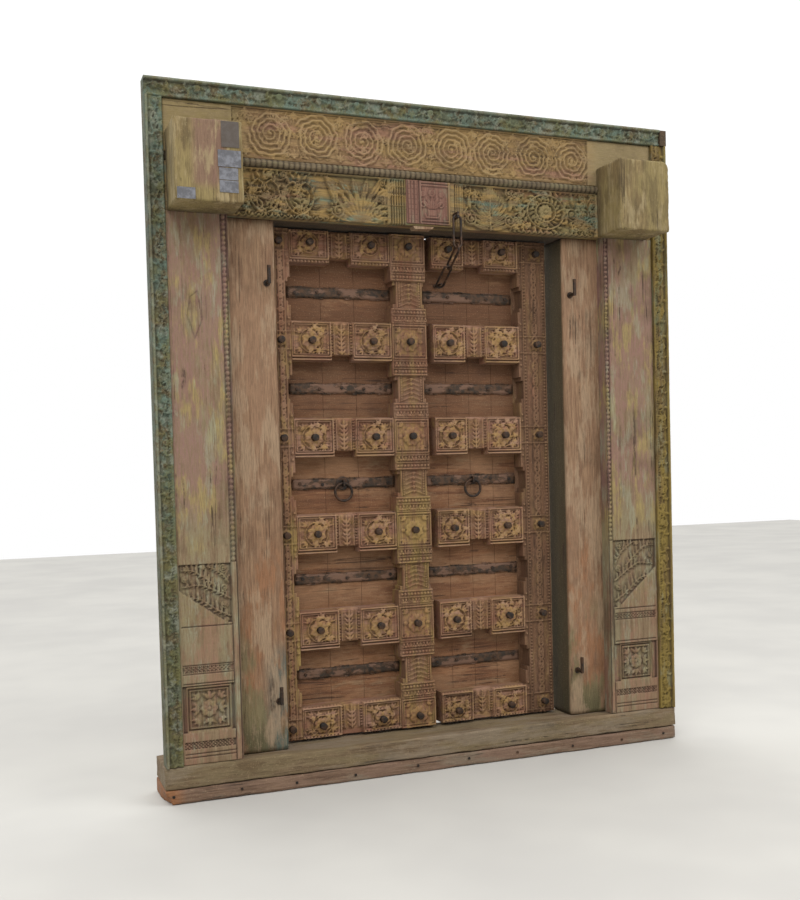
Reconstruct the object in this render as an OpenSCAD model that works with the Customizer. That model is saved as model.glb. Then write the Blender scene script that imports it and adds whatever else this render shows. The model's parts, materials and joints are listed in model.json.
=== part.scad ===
// Carved double-leaf courtyard door in its timber frame, free of the wall.
// Millimetres. X to the right, Y away from the viewer into the opening, Z up.
// Origin: middle of the sill's underside, in the plane of the pilasters' faces.

/* [Overall] */
// Width over the outer border
frame_w = 1900; // [1800:10:2200]
// Height from the floor to the top of the border
frame_h = 2270; // [2220:10:2600]
// Clear width between the jambs
opening_w = 1072; // [1040:2:1200]
// Height of the lintel's underside above the floor
opening_top = 1866; // [1800:1:2100]

/* [Sill] */
// How far the sill runs past the border at each end
sill_overhang = 5; // [0:1:40]
// Height of the lower sill beam
sill_low_h = 49; // [40:1:80]
// Height of the upper sill beam
sill_up_h = 71; // [50:1:100]
// Open joint between the two sill beams' front edges
sill_joint = 2; // [1:0.5:4]
// How far the sill stands in front of the pilasters
sill_front = 10; // [4:1:40]
// Depth of the sill behind the pilasters' faces
sill_back = 185; // [182:1:230]
// Radius of the nail heads
nail_r = 5; // [3:0.5:7]

/* [Frame] */
// Width of the left and right border mouldings
border_side_w = [55, 61]; // [45:1:75]
// Height of the top border moulding
border_top_h = 58; // [45:1:70]
// Thickness of the border mouldings
border_t = 65; // [55:1:80]
// How far the border stands in front of the pilasters
border_proud = 20; // [10:1:30]
// Thickness of pilasters and frieze boards
board_t = 45; // [40:1:48]
// Width of the left and right jambs
jamb_w = [164, 146]; // [130:1:175]
// Depth of the left and right jambs
jamb_t = [100, 140]; // [80:1:140]
// Height of the upper frieze board
upper_frieze_h = 164; // [140:1:170]
// Height of the bead moulding between the friezes
rope_h = 28; // [20:1:32]
// Width of the plaque in the middle of the lower frieze
plaque_w = 162; // [140:1:200]
// Thickness of the plaque where it stands in front of the frieze
plaque_t = 5; // [3:1:10]

/* [Beam ends] */
// Width of the two square beam ends
block_w = [212, 204]; // [160:1:220]
// Height of the beam ends
block_h = 248; // [220:1:260]
// How far the beam ends stand out
block_out = 155; // [120:1:190]
// Distance from the border to the beam ends' outer faces
block_inset = [5, 27]; // [2:1:40]

/* [Leaves] */
// Gap under the leaves
leaf_foot_gap = 8; // [4:1:14]
// Gap over the leaves
leaf_head_gap = 6; // [4:1:12]
// Gap between the left and the right leaf's outer edge and its jamb
leaf_side_gap = [16, 31]; // [14:1:50]
// Right edge of the astragal, measured from the middle
meeting_x = 23; // [10:1:40]
// Gap between the astragal and the right leaf's boards
meeting_gap = 7; // [6:1:12]
// Depth of the rails' faces behind the pilasters
rail_face = 113; // [105:1:118]
// Thickness of the rails in front of the boards
rail_t = 60; // [40:1:64]
// Thickness of the boards
plank_t = 25; // [20:1:25]
// Number of boards in a leaf
plank_count = 4; // [3:1:5]
// Open joint between neighbouring boards
plank_gap = 1.2; // [0.5:0.1:3]
// Thickness of the battens on the back
batten_t = 22; // [16:1:22]
// Width of the battens
batten_w = 70; // [50:1:100]
// Height of the lowest row of bosses above the leaf's foot
first_row = 42; // [38:1:60]
// Height of the highest row of bosses below the leaf's head
last_row = 45; // [40:1:64]
// Height of the rails
rail_h = 136; // [110:1:140]
// Widths of the left leaf's hinge stile, outer block, spacer and inner block
left_widths = [53, 139, 81, 139]; // [50:1:150]
// Widths of the right leaf's hinge stile, outer block, spacer and inner block
right_widths = [115, 134, 83, 121]; // [50:1:150]
// How far the spacers lie behind the blocks
spacer_recess = 9; // [4:1:20]
// Height of the notch under each spacer
notch_h = 22; // [10:1:34]
// How far the astragal stands in front of the rails
astragal_proud = 8; // [4:1:9]
// How much the astragal narrows between the rails, on each side
astragal_step = 20; // [10:1:25]
// Height of the astragal's and stiles' wide stretches
wide_h = 236; // [180:1:250]

/* [Pivots] */
// Radius of the wooden pivots
pivot_r = 12; // [8:0.5:12]
// Radial clearance of a pivot in its socket
pivot_clear = 0.4; // [0.2:0.1:1]
// Depth of the sockets
socket_depth = 34; // [20:1:40]
// Clearance under and over a pivot's end
pivot_end_clear = 0.3; // [0.1:0.1:1]
// Pivot's distance from the leaf's outer edge
pivot_inset = [23, 35]; // [18:1:38]
// Further inset of the right stile's bosses
right_boss_in = 30; // [10:1:40]
// Depth of the pivots behind the pilasters' faces
pivot_y = 165; // [160:1:168]

/* [Ironwork] */
// Height of the straps
strap_h = 34; // [24:1:44]
// Thickness of the straps
strap_t = 5; // [3:1:7]
// Radius of the strap rivets
rivet_r = 6; // [4:0.5:7]
// Radius of the bosses
boss_r = 12.5; // [9:0.5:15]
// How far the bosses stand out
boss_out = 20; // [14:1:24]
// Outer radius of the two pull rings
ring_r = 35; // [28:1:42]
// Radius of the rings' bar
ring_bar_r = 4.5; // [3:0.5:6]
// Radius of the bar of staples and chain links
link_bar_r = 4; // [3:0.5:5]
// Distance between the pins of neighbouring chain links
link_pitch = 103; // [90:1:110]
// Inner half width of a chain link
link_half_w = 10; // [9:0.5:12]
// Angle of the chain's lower links, from the vertical
chain_lean = 58; // [45:1:59]
// Height of the hooks' upright pins on the jambs
hook_h = 58; // [40:1:70]
// How far the hooks stand out of the jambs
hook_out = 34; // [24:1:44]
// Radius of the hooks' bar
hook_r = 6; // [4:0.5:8]

/* [Hidden] */
$fn = 48;

wood_brown = [0.44, 0.31, 0.22];
wood_tan = [0.55, 0.43, 0.30];
wood_ochre = [0.60, 0.50, 0.28];
wood_teal = [0.36, 0.43, 0.38];
wood_mauve = [0.52, 0.38, 0.33];
wood_olive = [0.45, 0.40, 0.28];
iron_dark = [0.16, 0.14, 0.13];
paper_grey = [0.50, 0.50, 0.48];

sill_joint_depth = 12;
nail_count = 10;
jamb_arris = 8;
end_block_w = 26;
staple_out = 30;
rivet_out = 5;
stile_nose_r = 24;
stile_step = 16;
batten_end = 12;
// How far the left leaf's boards stay behind the astragal's edge
plank_edge_back = 3;

half_w = frame_w / 2;
half_open = opening_w / 2;
sill_h = sill_low_h + sill_up_h;
border_in = [-half_w + border_side_w[0], half_w - border_side_w[1]];
jamb_out = [-half_open - jamb_w[0], half_open + jamb_w[1]];
top_border_z = frame_h - border_top_h;
rope_z = top_border_z - upper_frieze_h - rope_h;
block_in = [border_in[0] + block_inset[0] + block_w[0],
  border_in[1] - block_inset[1] - block_w[1]];
block_z = opening_top - 4;
plaque_x = [-5 - plaque_w / 2, -5 + plaque_w / 2];
leaf_z = sill_h + leaf_foot_gap;
leaf_top = opening_top - leaf_head_gap;
leaf_out = [-half_open + leaf_side_gap[0], half_open - leaf_side_gap[1]];
plank_face = rail_face + rail_t;
leaf_back = plank_face + plank_t;
row_pitch = (leaf_top - last_row - leaf_z - first_row) / 5;
row_z = [for (row = [0:5]) leaf_z + first_row + row * row_pitch];
// Straps sit a little above the middle between two rows
strap_up = 6;
strap_z = [for (row = [0:4]) (row_z[row] + row_z[row + 1]) / 2 + strap_up];
// Short step beside a wide stretch, and the wide stretch's half height kept clear of the straps
small_step = 14;
wide_half = min(wide_h / 2, row_pitch / 2 - strap_up - strap_h / 2 - small_step - 6);
pivot_x = [leaf_out[0] + pivot_inset[0], leaf_out[1] - pivot_inset[1]];
left_board = [leaf_out[0] + left_widths[0], meeting_x];
right_board = [meeting_x + meeting_gap, leaf_out[1] - right_widths[0]];
left_rail = [left_board[0],
  left_board[0] + left_widths[1] + left_widths[2] + left_widths[3]];
right_rail = [right_board[1] - right_widths[1] - right_widths[2] - right_widths[3],
  right_board[1]];
astragal_x = [left_rail[1], meeting_x];
astragal_face = rail_face - astragal_proud;
strap_face = plank_face - strap_t;
stile_boss_inset = boss_r + 1.5;
left_boss_x = [leaf_out[0] + stile_boss_inset, left_rail[0] + left_widths[1] / 2,
  left_rail[1] - left_widths[3] / 2, (astragal_x[0] + astragal_x[1]) / 2];
right_boss_x = [leaf_out[1] - stile_boss_inset - right_boss_in, right_rail[1] - right_widths[1] / 2,
  right_rail[0] + right_widths[3] / 2];
jamb_lap = 40;
hook_inset = 30;
hook_z = [285, opening_top - 206];
chain_x = plaque_x[1] + 12;
// Running clearance between two bars that hang in one another
bar_clear = 0.3;
rose_t = 4;
rose_r = 24;
ring_mid_r = ring_r - ring_bar_r;
ring_y = strap_face - rose_t - ring_bar_r - 1.5;
ring_z = strap_z[2];
ring_x = [(left_rail[0] + left_rail[1]) / 2 + 3, (right_rail[0] + right_rail[1]) / 2 - 10];
// Centre line half width of a chain link, and its length between the end bars
link_mid_w = link_half_w + link_bar_r;
link_run = link_pitch + link_bar_r * 1.5;
// Distance between two bars that lie inside one another
hang = 2 * link_bar_r + bar_clear;
lean = [0, sin(chain_lean), -cos(chain_lean)];
pin_1 = [chain_x, -staple_out, opening_top + 36];
pin_2 = pin_1 + [0, 0, -link_run];
pin_3 = pin_2 + (link_run - 2 * hang) * lean;
pin_4 = pin_3 + link_run * lean;
peg_z = pin_4[2] + hang;
peg_foot_r = link_bar_r + 4;
label_t = 1;

// A box given by its low and high corners
module span(low, high) {
  translate(low) cube(high - low);
}

// A round bar from one point to another
module bar(from, to, r) {
  run = to - from;
  translate(from)
    rotate([0, acos(run[2] / norm(run)), atan2(run[1], run[0])])
      cylinder(r = r, h = norm(run));
}

// A domed stud whose flat back lies on a face that looks at the viewer
module stud(x, face, z, r, out) {
  translate([x, face, z]) rotate([90, 0, 0]) rotate_extrude()
    polygon([[0, 0], [r, 0], [r, out * 0.3], [r * 0.88, out * 0.62],
      [r * 0.55, out * 0.9], [0, out]]);
}

// An outline in X and Z made solid from one depth to another
module slab(front, back) {
  translate([0, back, 0]) rotate([90, 0, 0]) linear_extrude(back - front) children();
}

// Rectangle with one worn, rounded upper corner
module worn_corner(w, h, r) {
  difference() {
    square([w, h]);
    translate([w - r, h - r]) difference() {
      square(2 * r);
      circle(r);
    }
  }
}

// Heights at which a stepped edge goes in and out, from the leaf's foot to its head
function reversed(list) = [for (k = [len(list) - 1:-1:0]) list[k]];
function clamp_z(z) = min(max(z, leaf_z), leaf_top);
function stepped_edge(wide, narrow) = [for (row = [0:5], corner = [0:5])
  let (half = wide_half, middle = (wide + narrow) / 2,
    x = [narrow, middle, wide, wide, middle, narrow][corner],
    z = row_z[row] + [-half - small_step, -half, -half, half, half, half + small_step][corner])
  if (z > leaf_z && z < leaf_top) [x, z]];

// ---- Sill ----

module sill_beam(low, high) {
  span([-half_w - sill_overhang, -sill_front, low],
    [half_w + sill_overhang, sill_back, high]);
}

module sill_lower() {
  color(wood_mauve) sill_beam(0, sill_low_h);
}

module sill_upper() {
  color(wood_olive) difference() {
    sill_beam(sill_low_h, sill_h);
    span([-frame_w, -sill_front - 1, sill_low_h - 1],
      [frame_w, sill_joint_depth - sill_front, sill_low_h + sill_joint]);
    for (x = pivot_x)
      translate([x, pivot_y, sill_h - socket_depth])
        cylinder(r = pivot_r + pivot_clear, h = socket_depth + 1);
  }
}

module sill_nails() {
  color(iron_dark) for (nail = [0:nail_count - 1])
    stud(-half_w + 20 + nail * (frame_w - 60) / (nail_count - 1) + 14 * sin(nail * 107),
      -sill_front, sill_low_h / 2 + 3 * cos(nail * 71), nail_r, 2);
}

// ---- Standing frame ----

// side is 0 for the left and 1 for the right
module jamb(side) {
  inner = side == 0 ? -half_open : half_open;
  out = side == 0 ? -1 : 1;
  jamb_back = board_t + jamb_t[side];
  color(wood_tan) translate([inner, 0, sill_h]) scale([out, 1, 1])
    linear_extrude(opening_top - sill_h) polygon([[jamb_arris, board_t],
      [jamb_w[side] + jamb_lap, board_t], [jamb_w[side] + jamb_lap, jamb_back],
      [0, jamb_back], [0, board_t + 34], [3, board_t + 31], [3, board_t + 25],
      [0, board_t + 22], [0, board_t + jamb_arris]]);
}

module left_jamb() { jamb(0); }
module right_jamb() { jamb(1); }

module pilaster(low, high) {
  color(wood_mauve) span([low, 0, sill_h], [high, board_t, opening_top]);
}

module left_pilaster() { pilaster(border_in[0], jamb_out[0]); }
module right_pilaster() { pilaster(jamb_out[1], border_in[1]); }

// Section of the border, inner edge at 0 and outer edge at w
module border_section(w) {
  top = border_t;
  polygon([[0, 0], [w, 0], [w, top - 10], [w - 3, top - 3], [w - 8, top],
    [w - 12, top - 3], [w - 14, top - 4], [14, top - 4], [12, top - 1],
    [4, top - 1], [0, top - 5]]);
}

module left_border() {
  color(wood_teal) translate([border_in[0], border_t - border_proud, sill_h])
    rotate([0, 0, 180]) linear_extrude(top_border_z - sill_h)
      border_section(border_side_w[0]);
}

module right_border() {
  color(wood_olive) translate([border_in[1], border_t - border_proud, sill_h])
    mirror([0, 1, 0]) linear_extrude(top_border_z - sill_h)
      border_section(border_side_w[1]);
}

module top_border() {
  color(wood_teal) translate([-half_w, border_t - border_proud, top_border_z])
    rotate([90, 0, 90]) linear_extrude(frame_w - end_block_w)
      rotate([0, 0, 90]) border_section(border_top_h);
}

module border_end_block() {
  color(wood_brown) span([half_w - end_block_w, -border_proud + 2, top_border_z],
    [half_w, border_t - border_proud, frame_h - 3]);
}

// ---- Lintel ----

module lintel_beam() {
  color(wood_brown) difference() {
    span([border_in[0], board_t, opening_top], [border_in[1], sill_back, rope_z + rope_h]);
    for (x = pivot_x)
      translate([x, pivot_y, opening_top - 1])
        cylinder(r = pivot_r + pivot_clear, h = socket_depth + 1);
  }
}

module frieze(low, high) {
  span([border_in[0], 0, low], [border_in[1], board_t, high]);
}

module upper_frieze() {
  color(wood_ochre) frieze(rope_z + rope_h, top_border_z);
}

module rope_moulding() {
  color(wood_olive) {
    frieze(rope_z, rope_z + rope_h);
    intersection() {
      translate([block_in[0], 0, rope_z + rope_h / 2]) rotate([0, 90, 0])
        cylinder(r = rope_h / 2 - 1, h = block_in[1] - block_in[0]);
      span([block_in[0] - 1, -rope_h, rope_z], [block_in[1] + 1, 1, rope_z + rope_h]);
    }
  }
}

module lower_frieze() {
  color(wood_ochre) frieze(opening_top, rope_z);
}

module centre_plaque() {
  color(wood_mauve) span([plaque_x[0], -plaque_t, opening_top + 6],
    [plaque_x[1], 0, rope_z - 2]);
}

module lintel_wedge() {
  color(wood_tan) slab(4, board_t - 5)
    polygon([[plaque_x[0] + 26, opening_top], [plaque_x[0] + 32, opening_top - 10],
      [plaque_x[1] - 66, opening_top - 8], [plaque_x[1] - 60, opening_top]]);
}

module beam_end(left, w, worn) {
  color(wood_olive) slab(-block_out, 0)
    translate([left, block_z]) worn_corner(w, block_h, worn);
}

module left_block() { beam_end(block_in[0] - block_w[0], block_w[0], 6); }
module right_block() { beam_end(block_in[1], block_w[1], 34); }

// Cards without any print, as [left, low, width, height] from the block's lower right corner
module blank_labels() {
  color(paper_grey) for (card = [[-67, 166, 55, 78], [-79, 107, 71, 50],
      [-76, 68, 58, 36], [-76, 30, 58, 36], [-205, 4, 55, 34]])
    span([block_in[0] + card[0], -block_out - label_t, block_z + card[1]],
      [block_in[0] + card[0] + card[2], -block_out, block_z + card[1] + card[3]]);
}

module jamb_hooks() {
  color(iron_dark) for (side = [-1, 1], z = hook_z) {
    x = side * (half_open + hook_inset);
    bar([x, board_t, z], [x, board_t - hook_out, z], hook_r);
    bar([x, board_t, z], [x, board_t - 4, z], hook_r + 5);
    bar([x, board_t - hook_out, z - hook_r], [x, board_t - hook_out, z - hook_r + hook_h], hook_r);
  }
}

// Square staple that holds a bar of radius held; its pin runs along X at the given place
module staple(place, wall, held, r) {
  half = held + bar_clear + r;
  for (side = [-1, 1]) {
    bar([place[0], wall, place[2] + side * half],
      [place[0], place[1] - half, place[2] + side * half], r);
    translate([place[0], place[1] - half, place[2] + side * half]) sphere(r);
  }
  bar([place[0], place[1] - half, place[2] - half],
    [place[0], place[1] - half, place[2] + half], r);
}

module lintel_staple() {
  color(iron_dark) staple(pin_1, 0, link_bar_r, link_bar_r);
}

// ---- Leaves ----

// Stepped front part and straight back part, which reach from the outer to the inner edge
module hinge_stile(side) {
  outer = leaf_out[side];
  inner = side == 0 ? left_board[0] : right_board[1];
  in = side == 0 ? 1 : -1;
  nose = min(stile_nose_r, abs(outer - pivot_x[side]) + 1);
  color(wood_brown) union() {
    slab(rail_face, plank_face)
      polygon(concat([[outer, leaf_z]], [[inner, leaf_z]],
        stepped_edge(inner, inner - in * stile_step), [[inner, leaf_top], [outer, leaf_top]]));
    translate([0, 0, leaf_z]) linear_extrude(leaf_top - leaf_z) union() {
      translate([min(outer + in * nose, inner), plank_face])
        square([abs(inner - outer) - nose, plank_t]);
      translate([outer + in * nose, leaf_back - nose]) circle(nose);
    }
    translate([pivot_x[side], pivot_y, sill_h - socket_depth + pivot_end_clear])
      cylinder(r = pivot_r, h = socket_depth + leaf_foot_gap + 5);
    translate([pivot_x[side], pivot_y, leaf_top - 5])
      cylinder(r = pivot_r, h = socket_depth + leaf_head_gap + 5 - pivot_end_clear);
  }
}

module left_hinge_stile() { hinge_stile(0); }
module right_hinge_stile() { hinge_stile(1); }

module planks(board) {
  step = (board[1] - board[0] + plank_gap) / plank_count;
  color(wood_tan) for (plank = [0:plank_count - 1])
    span([board[0] + plank * step, plank_face, leaf_z],
      [board[0] + (plank + 1) * step - plank_gap, leaf_back, leaf_top]);
}

module left_planks() { planks(left_board - [0, plank_edge_back]); }
module right_planks() { planks(right_board); }

module battens(board) {
  color(wood_brown) for (row = [0, 2, 3, 5])
    span([board[0] + batten_end, leaf_back, clamp_z(row_z[row] - batten_w / 2)],
      [board[1] - batten_end, leaf_back + batten_t, clamp_z(row_z[row] + batten_w / 2)]);
}

module left_battens() { battens(left_board); }
module right_battens() { battens(right_board); }

module astragal() {
  color(wood_brown) slab(astragal_face, plank_face) polygon(concat(
    [[astragal_x[0], leaf_z], [astragal_x[1], leaf_z]],
    stepped_edge(astragal_x[1], astragal_x[1] - astragal_step / 2),
    [[astragal_x[1], leaf_top], [astragal_x[0], leaf_top]],
    reversed(stepped_edge(astragal_x[0], astragal_x[0] + astragal_step))));
}

// One carved rail: block, spacer, block, as widths from its left end
module rail(left, widths, row) {
  low = clamp_z(row_z[row] - rail_h / 2);
  high = clamp_z(row_z[row] + rail_h / 2);
  x = [left, left + widths[0], left + widths[0] + widths[1],
    left + widths[0] + widths[1] + widths[2]];
  color(wood_brown) union() {
    span([x[0], rail_face, low], [x[1], plank_face, high]);
    span([x[1], rail_face + spacer_recess, low + notch_h], [x[2], plank_face, high]);
    span([x[2], rail_face, low], [x[3], plank_face, high]);
  }
}

module left_rail(row) {
  rail(left_rail[0], [left_widths[1], left_widths[2], left_widths[3]], row);
}

module right_rail(row) {
  rail(right_rail[0], [right_widths[3], right_widths[2], right_widths[1]], row);
}

module left_rail_1() { left_rail(0); }
module left_rail_2() { left_rail(1); }
module left_rail_3() { left_rail(2); }
module left_rail_4() { left_rail(3); }
module left_rail_5() { left_rail(4); }
module left_rail_6() { left_rail(5); }
module right_rail_1() { right_rail(0); }
module right_rail_2() { right_rail(1); }
module right_rail_3() { right_rail(2); }
module right_rail_4() { right_rail(3); }
module right_rail_5() { right_rail(4); }
module right_rail_6() { right_rail(5); }

// Strap ends, from the stile's inner edge to the astragal or the leaf's edge
function strap_span(side) = side == 0 ? [left_board[0] + 2, astragal_x[0] + astragal_step - 2]
  : [right_board[0] + 2, right_board[1] - 2];

module straps(side) {
  ends = strap_span(side);
  points = 20;
  color(iron_dark) for (bay = [0:4]) slab(strap_face, plank_face)
    translate([0, strap_z[bay]]) polygon(concat(
      [for (k = [0:points]) [ends[0] + k * (ends[1] - ends[0]) / points,
        -strap_h / 2 + 2 * sin(k * 67 + bay * 50)]],
      [for (k = [points:-1:0]) [ends[0] + k * (ends[1] - ends[0]) / points,
        strap_h / 2 + 2 * sin(k * 53 + bay * 80 + side * 40)]]));
}

module left_straps() { straps(0); }
// The uppermost strap leaves room for the chain's peg where the two would meet
module right_straps() {
  difference() {
    straps(1);
    bar([chain_x, plank_face + 1, peg_z], [chain_x, strap_face - 1, peg_z], peg_foot_r + 1);
  }
}

// The middle rivet of the third strap makes room for the ring
module strap_rivets(side) {
  ends = strap_span(side);
  color(iron_dark) for (bay = [0:4], k = [0:4]) if (bay != 2 || k != 2)
    stud(ends[0] + (0.07 + k * 0.215) * (ends[1] - ends[0]), strap_face,
      strap_z[bay] + 3 * sin(k * 110 + bay * 70), rivet_r, rivet_out);
}

module left_strap_rivets() { strap_rivets(0); }
module right_strap_rivets() { strap_rivets(1); }

module left_bosses() {
  color(iron_dark) for (z = row_z, k = [0:3])
    stud(left_boss_x[k], k == 3 ? astragal_face : rail_face, z, boss_r, boss_out);
}

module right_bosses() {
  color(iron_dark) for (z = row_z, x = right_boss_x)
    stud(x, rail_face, z, boss_r, boss_out);
}

module left_ring_rose() {
  color(iron_dark) translate([ring_x[0], strap_face, ring_z]) rotate([90, 0, 0])
    rotate_extrude() polygon([[0, 0], [rose_r, 0], [rose_r, rose_t * 0.5],
      [rose_r - 4, rose_t], [0, rose_t]]);
}

module left_ring_staple() {
  color(iron_dark)
    staple([ring_x[0], ring_y, ring_z], strap_face - rose_t, ring_bar_r, link_bar_r - 0.5);
}

module right_ring_staple() {
  color(iron_dark)
    staple([ring_x[1], ring_y, ring_z], strap_face, ring_bar_r, link_bar_r - 0.5);
}

module pull_ring(side) {
  color(iron_dark) translate([ring_x[side], ring_y, ring_z - ring_mid_r])
    rotate([90, 0, 0]) rotate_extrude() translate([ring_mid_r, 0]) circle(ring_bar_r);
}

module left_ring() { pull_ring(0); }
module right_ring() { pull_ring(1); }

module right_edge_iron() {
  color(iron_dark) span([leaf_out[1], plank_face - 32, leaf_z + 142],
    [leaf_out[1] + 10, plank_face - 12, leaf_z + 188]);
}

// ---- Chain ----

module chain_hook() {
  color(iron_dark) {
    bar([chain_x, plank_face, peg_z], [chain_x, pin_4[1] - 26, peg_z], link_bar_r);
    bar([chain_x, plank_face, peg_z], [chain_x, plank_face - 4, peg_z], peg_foot_r);
  }
}

// Closed oval link in the plane of X and Z, hanging from a bar at its upper end
module flat_link() {
  arc_z = link_run - 2 * link_mid_w;
  translate([0, 0, -link_mid_w]) rotate([90, 0, 0]) {
    difference() {
      rotate_extrude() translate([link_mid_w, 0]) circle(link_bar_r);
      translate([-link_run, -link_run, -link_run]) cube([2 * link_run, link_run, 2 * link_run]);
    }
    translate([0, -arc_z, 0]) difference() {
      rotate_extrude() translate([link_mid_w, 0]) circle(link_bar_r);
      translate([-link_run, 0, -link_run]) cube([2 * link_run, link_run, 2 * link_run]);
    }
    for (side = [-1, 1]) translate([side * link_mid_w, 0, 0]) rotate([90, 0, 0])
      cylinder(r = link_bar_r, h = arc_z);
  }
}

module chain_link_1() {
  color(iron_dark) translate(pin_1) flat_link();
}

module chain_link_2() {
  color(iron_dark) translate(pin_2 - hang * lean) rotate([chain_lean, 0, 0])
    rotate([0, 0, 90]) flat_link();
}

module chain_link_3() {
  color(iron_dark) translate(pin_3) rotate([chain_lean, 0, 0]) flat_link();
}

sill_lower();
sill_upper();
sill_nails();
left_jamb();
right_jamb();
left_pilaster();
right_pilaster();
left_border();
right_border();
top_border();
border_end_block();
lintel_beam();
upper_frieze();
rope_moulding();
lower_frieze();
centre_plaque();
lintel_wedge();
left_block();
right_block();
blank_labels();
jamb_hooks();
lintel_staple();
left_hinge_stile();
left_planks();
left_battens();
astragal();
left_rail_1();
left_rail_2();
left_rail_3();
left_rail_4();
left_rail_5();
left_rail_6();
left_straps();
left_strap_rivets();
left_bosses();
left_ring_rose();
left_ring_staple();
left_ring();
right_hinge_stile();
right_planks();
right_battens();
right_rail_1();
right_rail_2();
right_rail_3();
right_rail_4();
right_rail_5();
right_rail_6();
right_straps();
right_strap_rivets();
right_bosses();
right_edge_iron();
right_ring_staple();
right_ring();
chain_hook();
chain_link_1();
chain_link_2();
chain_link_3();
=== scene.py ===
import json
import math

import bpy
import numpy as np
from mathutils import Matrix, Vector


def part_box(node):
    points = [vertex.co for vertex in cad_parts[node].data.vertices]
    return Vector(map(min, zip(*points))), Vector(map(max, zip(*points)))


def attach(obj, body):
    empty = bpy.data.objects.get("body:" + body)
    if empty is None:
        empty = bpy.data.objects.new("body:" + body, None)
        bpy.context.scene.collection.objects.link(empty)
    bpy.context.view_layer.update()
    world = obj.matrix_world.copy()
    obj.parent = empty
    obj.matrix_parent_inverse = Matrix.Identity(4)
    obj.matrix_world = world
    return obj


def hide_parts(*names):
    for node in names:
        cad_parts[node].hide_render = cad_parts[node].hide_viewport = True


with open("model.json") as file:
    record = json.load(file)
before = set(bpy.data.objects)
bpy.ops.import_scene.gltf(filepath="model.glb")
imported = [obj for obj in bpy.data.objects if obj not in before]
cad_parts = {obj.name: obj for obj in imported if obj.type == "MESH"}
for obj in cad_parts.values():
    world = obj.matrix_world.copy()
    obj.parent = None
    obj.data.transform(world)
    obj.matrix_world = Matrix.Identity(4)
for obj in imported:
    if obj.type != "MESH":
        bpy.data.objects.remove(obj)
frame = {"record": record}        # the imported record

mm = 0.001
record = frame["record"]
bodyOf = {n: body for body, names in record["behaviour"]["bodies"].items() for n in names}
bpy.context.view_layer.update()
print("frame loaded,", len(bodyOf), "nodes")


# ---- camera ----

viewpoint = {
    "place": (-1.4605, -3.4045, 1.0316),   # metres, left of the door at chest height
    "turn": 21.24, "tilt": -2.01, "roll": -1.51,   # degrees
    "lens": 43.06, "shiftY": 0.0667,
}


def setCamera(v):
    camera = bpy.data.objects.new("camera", bpy.data.cameras.new("camera"))
    bpy.context.scene.collection.objects.link(camera)
    turned = Matrix.Rotation(math.radians(-v["turn"]), 4, "Z")
    tilted = Matrix.Rotation(math.radians(90 + v["tilt"]), 4, "X")
    rolled = Matrix.Rotation(math.radians(v["roll"]), 4, "Z")
    camera.matrix_world = Matrix.Translation(v["place"]) @ turned @ tilted @ rolled
    camera.data.lens = v["lens"]
    camera.data.sensor_width = 36
    camera.data.shift_y = v["shiftY"]
    bpy.context.scene.camera = camera


setCamera(viewpoint)


# ---- small helpers ----

def nodeBox(name):     # a node's low and high corners in millimetres
    low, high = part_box(name)
    return np.array(low) / mm, np.array(high) / mm


def smooth(low, high, x):
    t = np.clip((x - low) / (high - low), 0, 1)
    return t * t * (3 - 2 * t)


def hump(d):           # round section: 1 in the middle, 0 from 1 outwards
    return np.sqrt(np.clip(1 - d * d, 0, 1))


def wobble(x, y, z, size, seed, waves=9):   # smooth unevenness between -1 and 1
    rng = np.random.default_rng(seed)
    total = np.zeros(np.broadcast(x, y, z).shape)
    for k in range(waves):
        way = rng.normal(size=3)
        way = way / np.linalg.norm(way) * (0.6 + 1.6 * k / waves) * 2 * math.pi / size
        total = total + np.sin(way[0] * x + way[1] * y + way[2] * z + rng.uniform(0, 6.3))
    return total / waves ** 0.5 / 1.6


def newMesh(name, points, faces, flat=(), values=None):
    mesh = bpy.data.meshes.new(name)
    mesh.from_pydata((np.asarray(points) * mm).tolist(), [], faces)
    shade = np.ones(len(faces), bool)
    for first, last in flat:
        shade[first:last] = False
    mesh.polygons.foreach_set("use_smooth", shade)
    for key, data in (values or {}).items():
        mesh.attributes.new(key, "FLOAT", "POINT").data.foreach_set("value", data)
    mesh.update()
    piece = bpy.data.objects.new(name, mesh)
    bpy.context.scene.collection.objects.link(piece)
    return piece


def standIn(piece, node, material):      # the piece takes the node's place and body, and gets the material
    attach(piece, bodyOf[node])
    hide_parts(node)
    piece.data.materials.append(material)


def joinParts(parts):    # lists of (points, faces) to one
    points, faces, start = [], [], 0
    for p, f in parts:
        points.append(p)
        faces += [tuple(start + k for k in face) for face in f]
        start += len(p)
    return np.vstack(points), faces


# ---- carving: a panel is a grid of heights, 0 in the ground and 1 at the face ----

def newPanel(xs, zs, level=0.0):
    shape = (len(xs), len(zs))
    return {"xs": np.asarray(xs, float), "zs": np.asarray(zs, float),
            "h": np.full(shape, float(level)), "gilt": np.zeros(shape)}


def steps(low, high, size):
    return np.linspace(low, high, max(2, int(round((high - low) / size)) + 1))


def window(panel, x0, x1, z0, z1):
    i = slice(*np.searchsorted(panel["xs"], (x0, x1)))
    j = slice(*np.searchsorted(panel["zs"], (z0, z1)))
    X, Z = np.meshgrid(panel["xs"][i], panel["zs"][j], indexing="ij")
    return (i, j), X, Z


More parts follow.
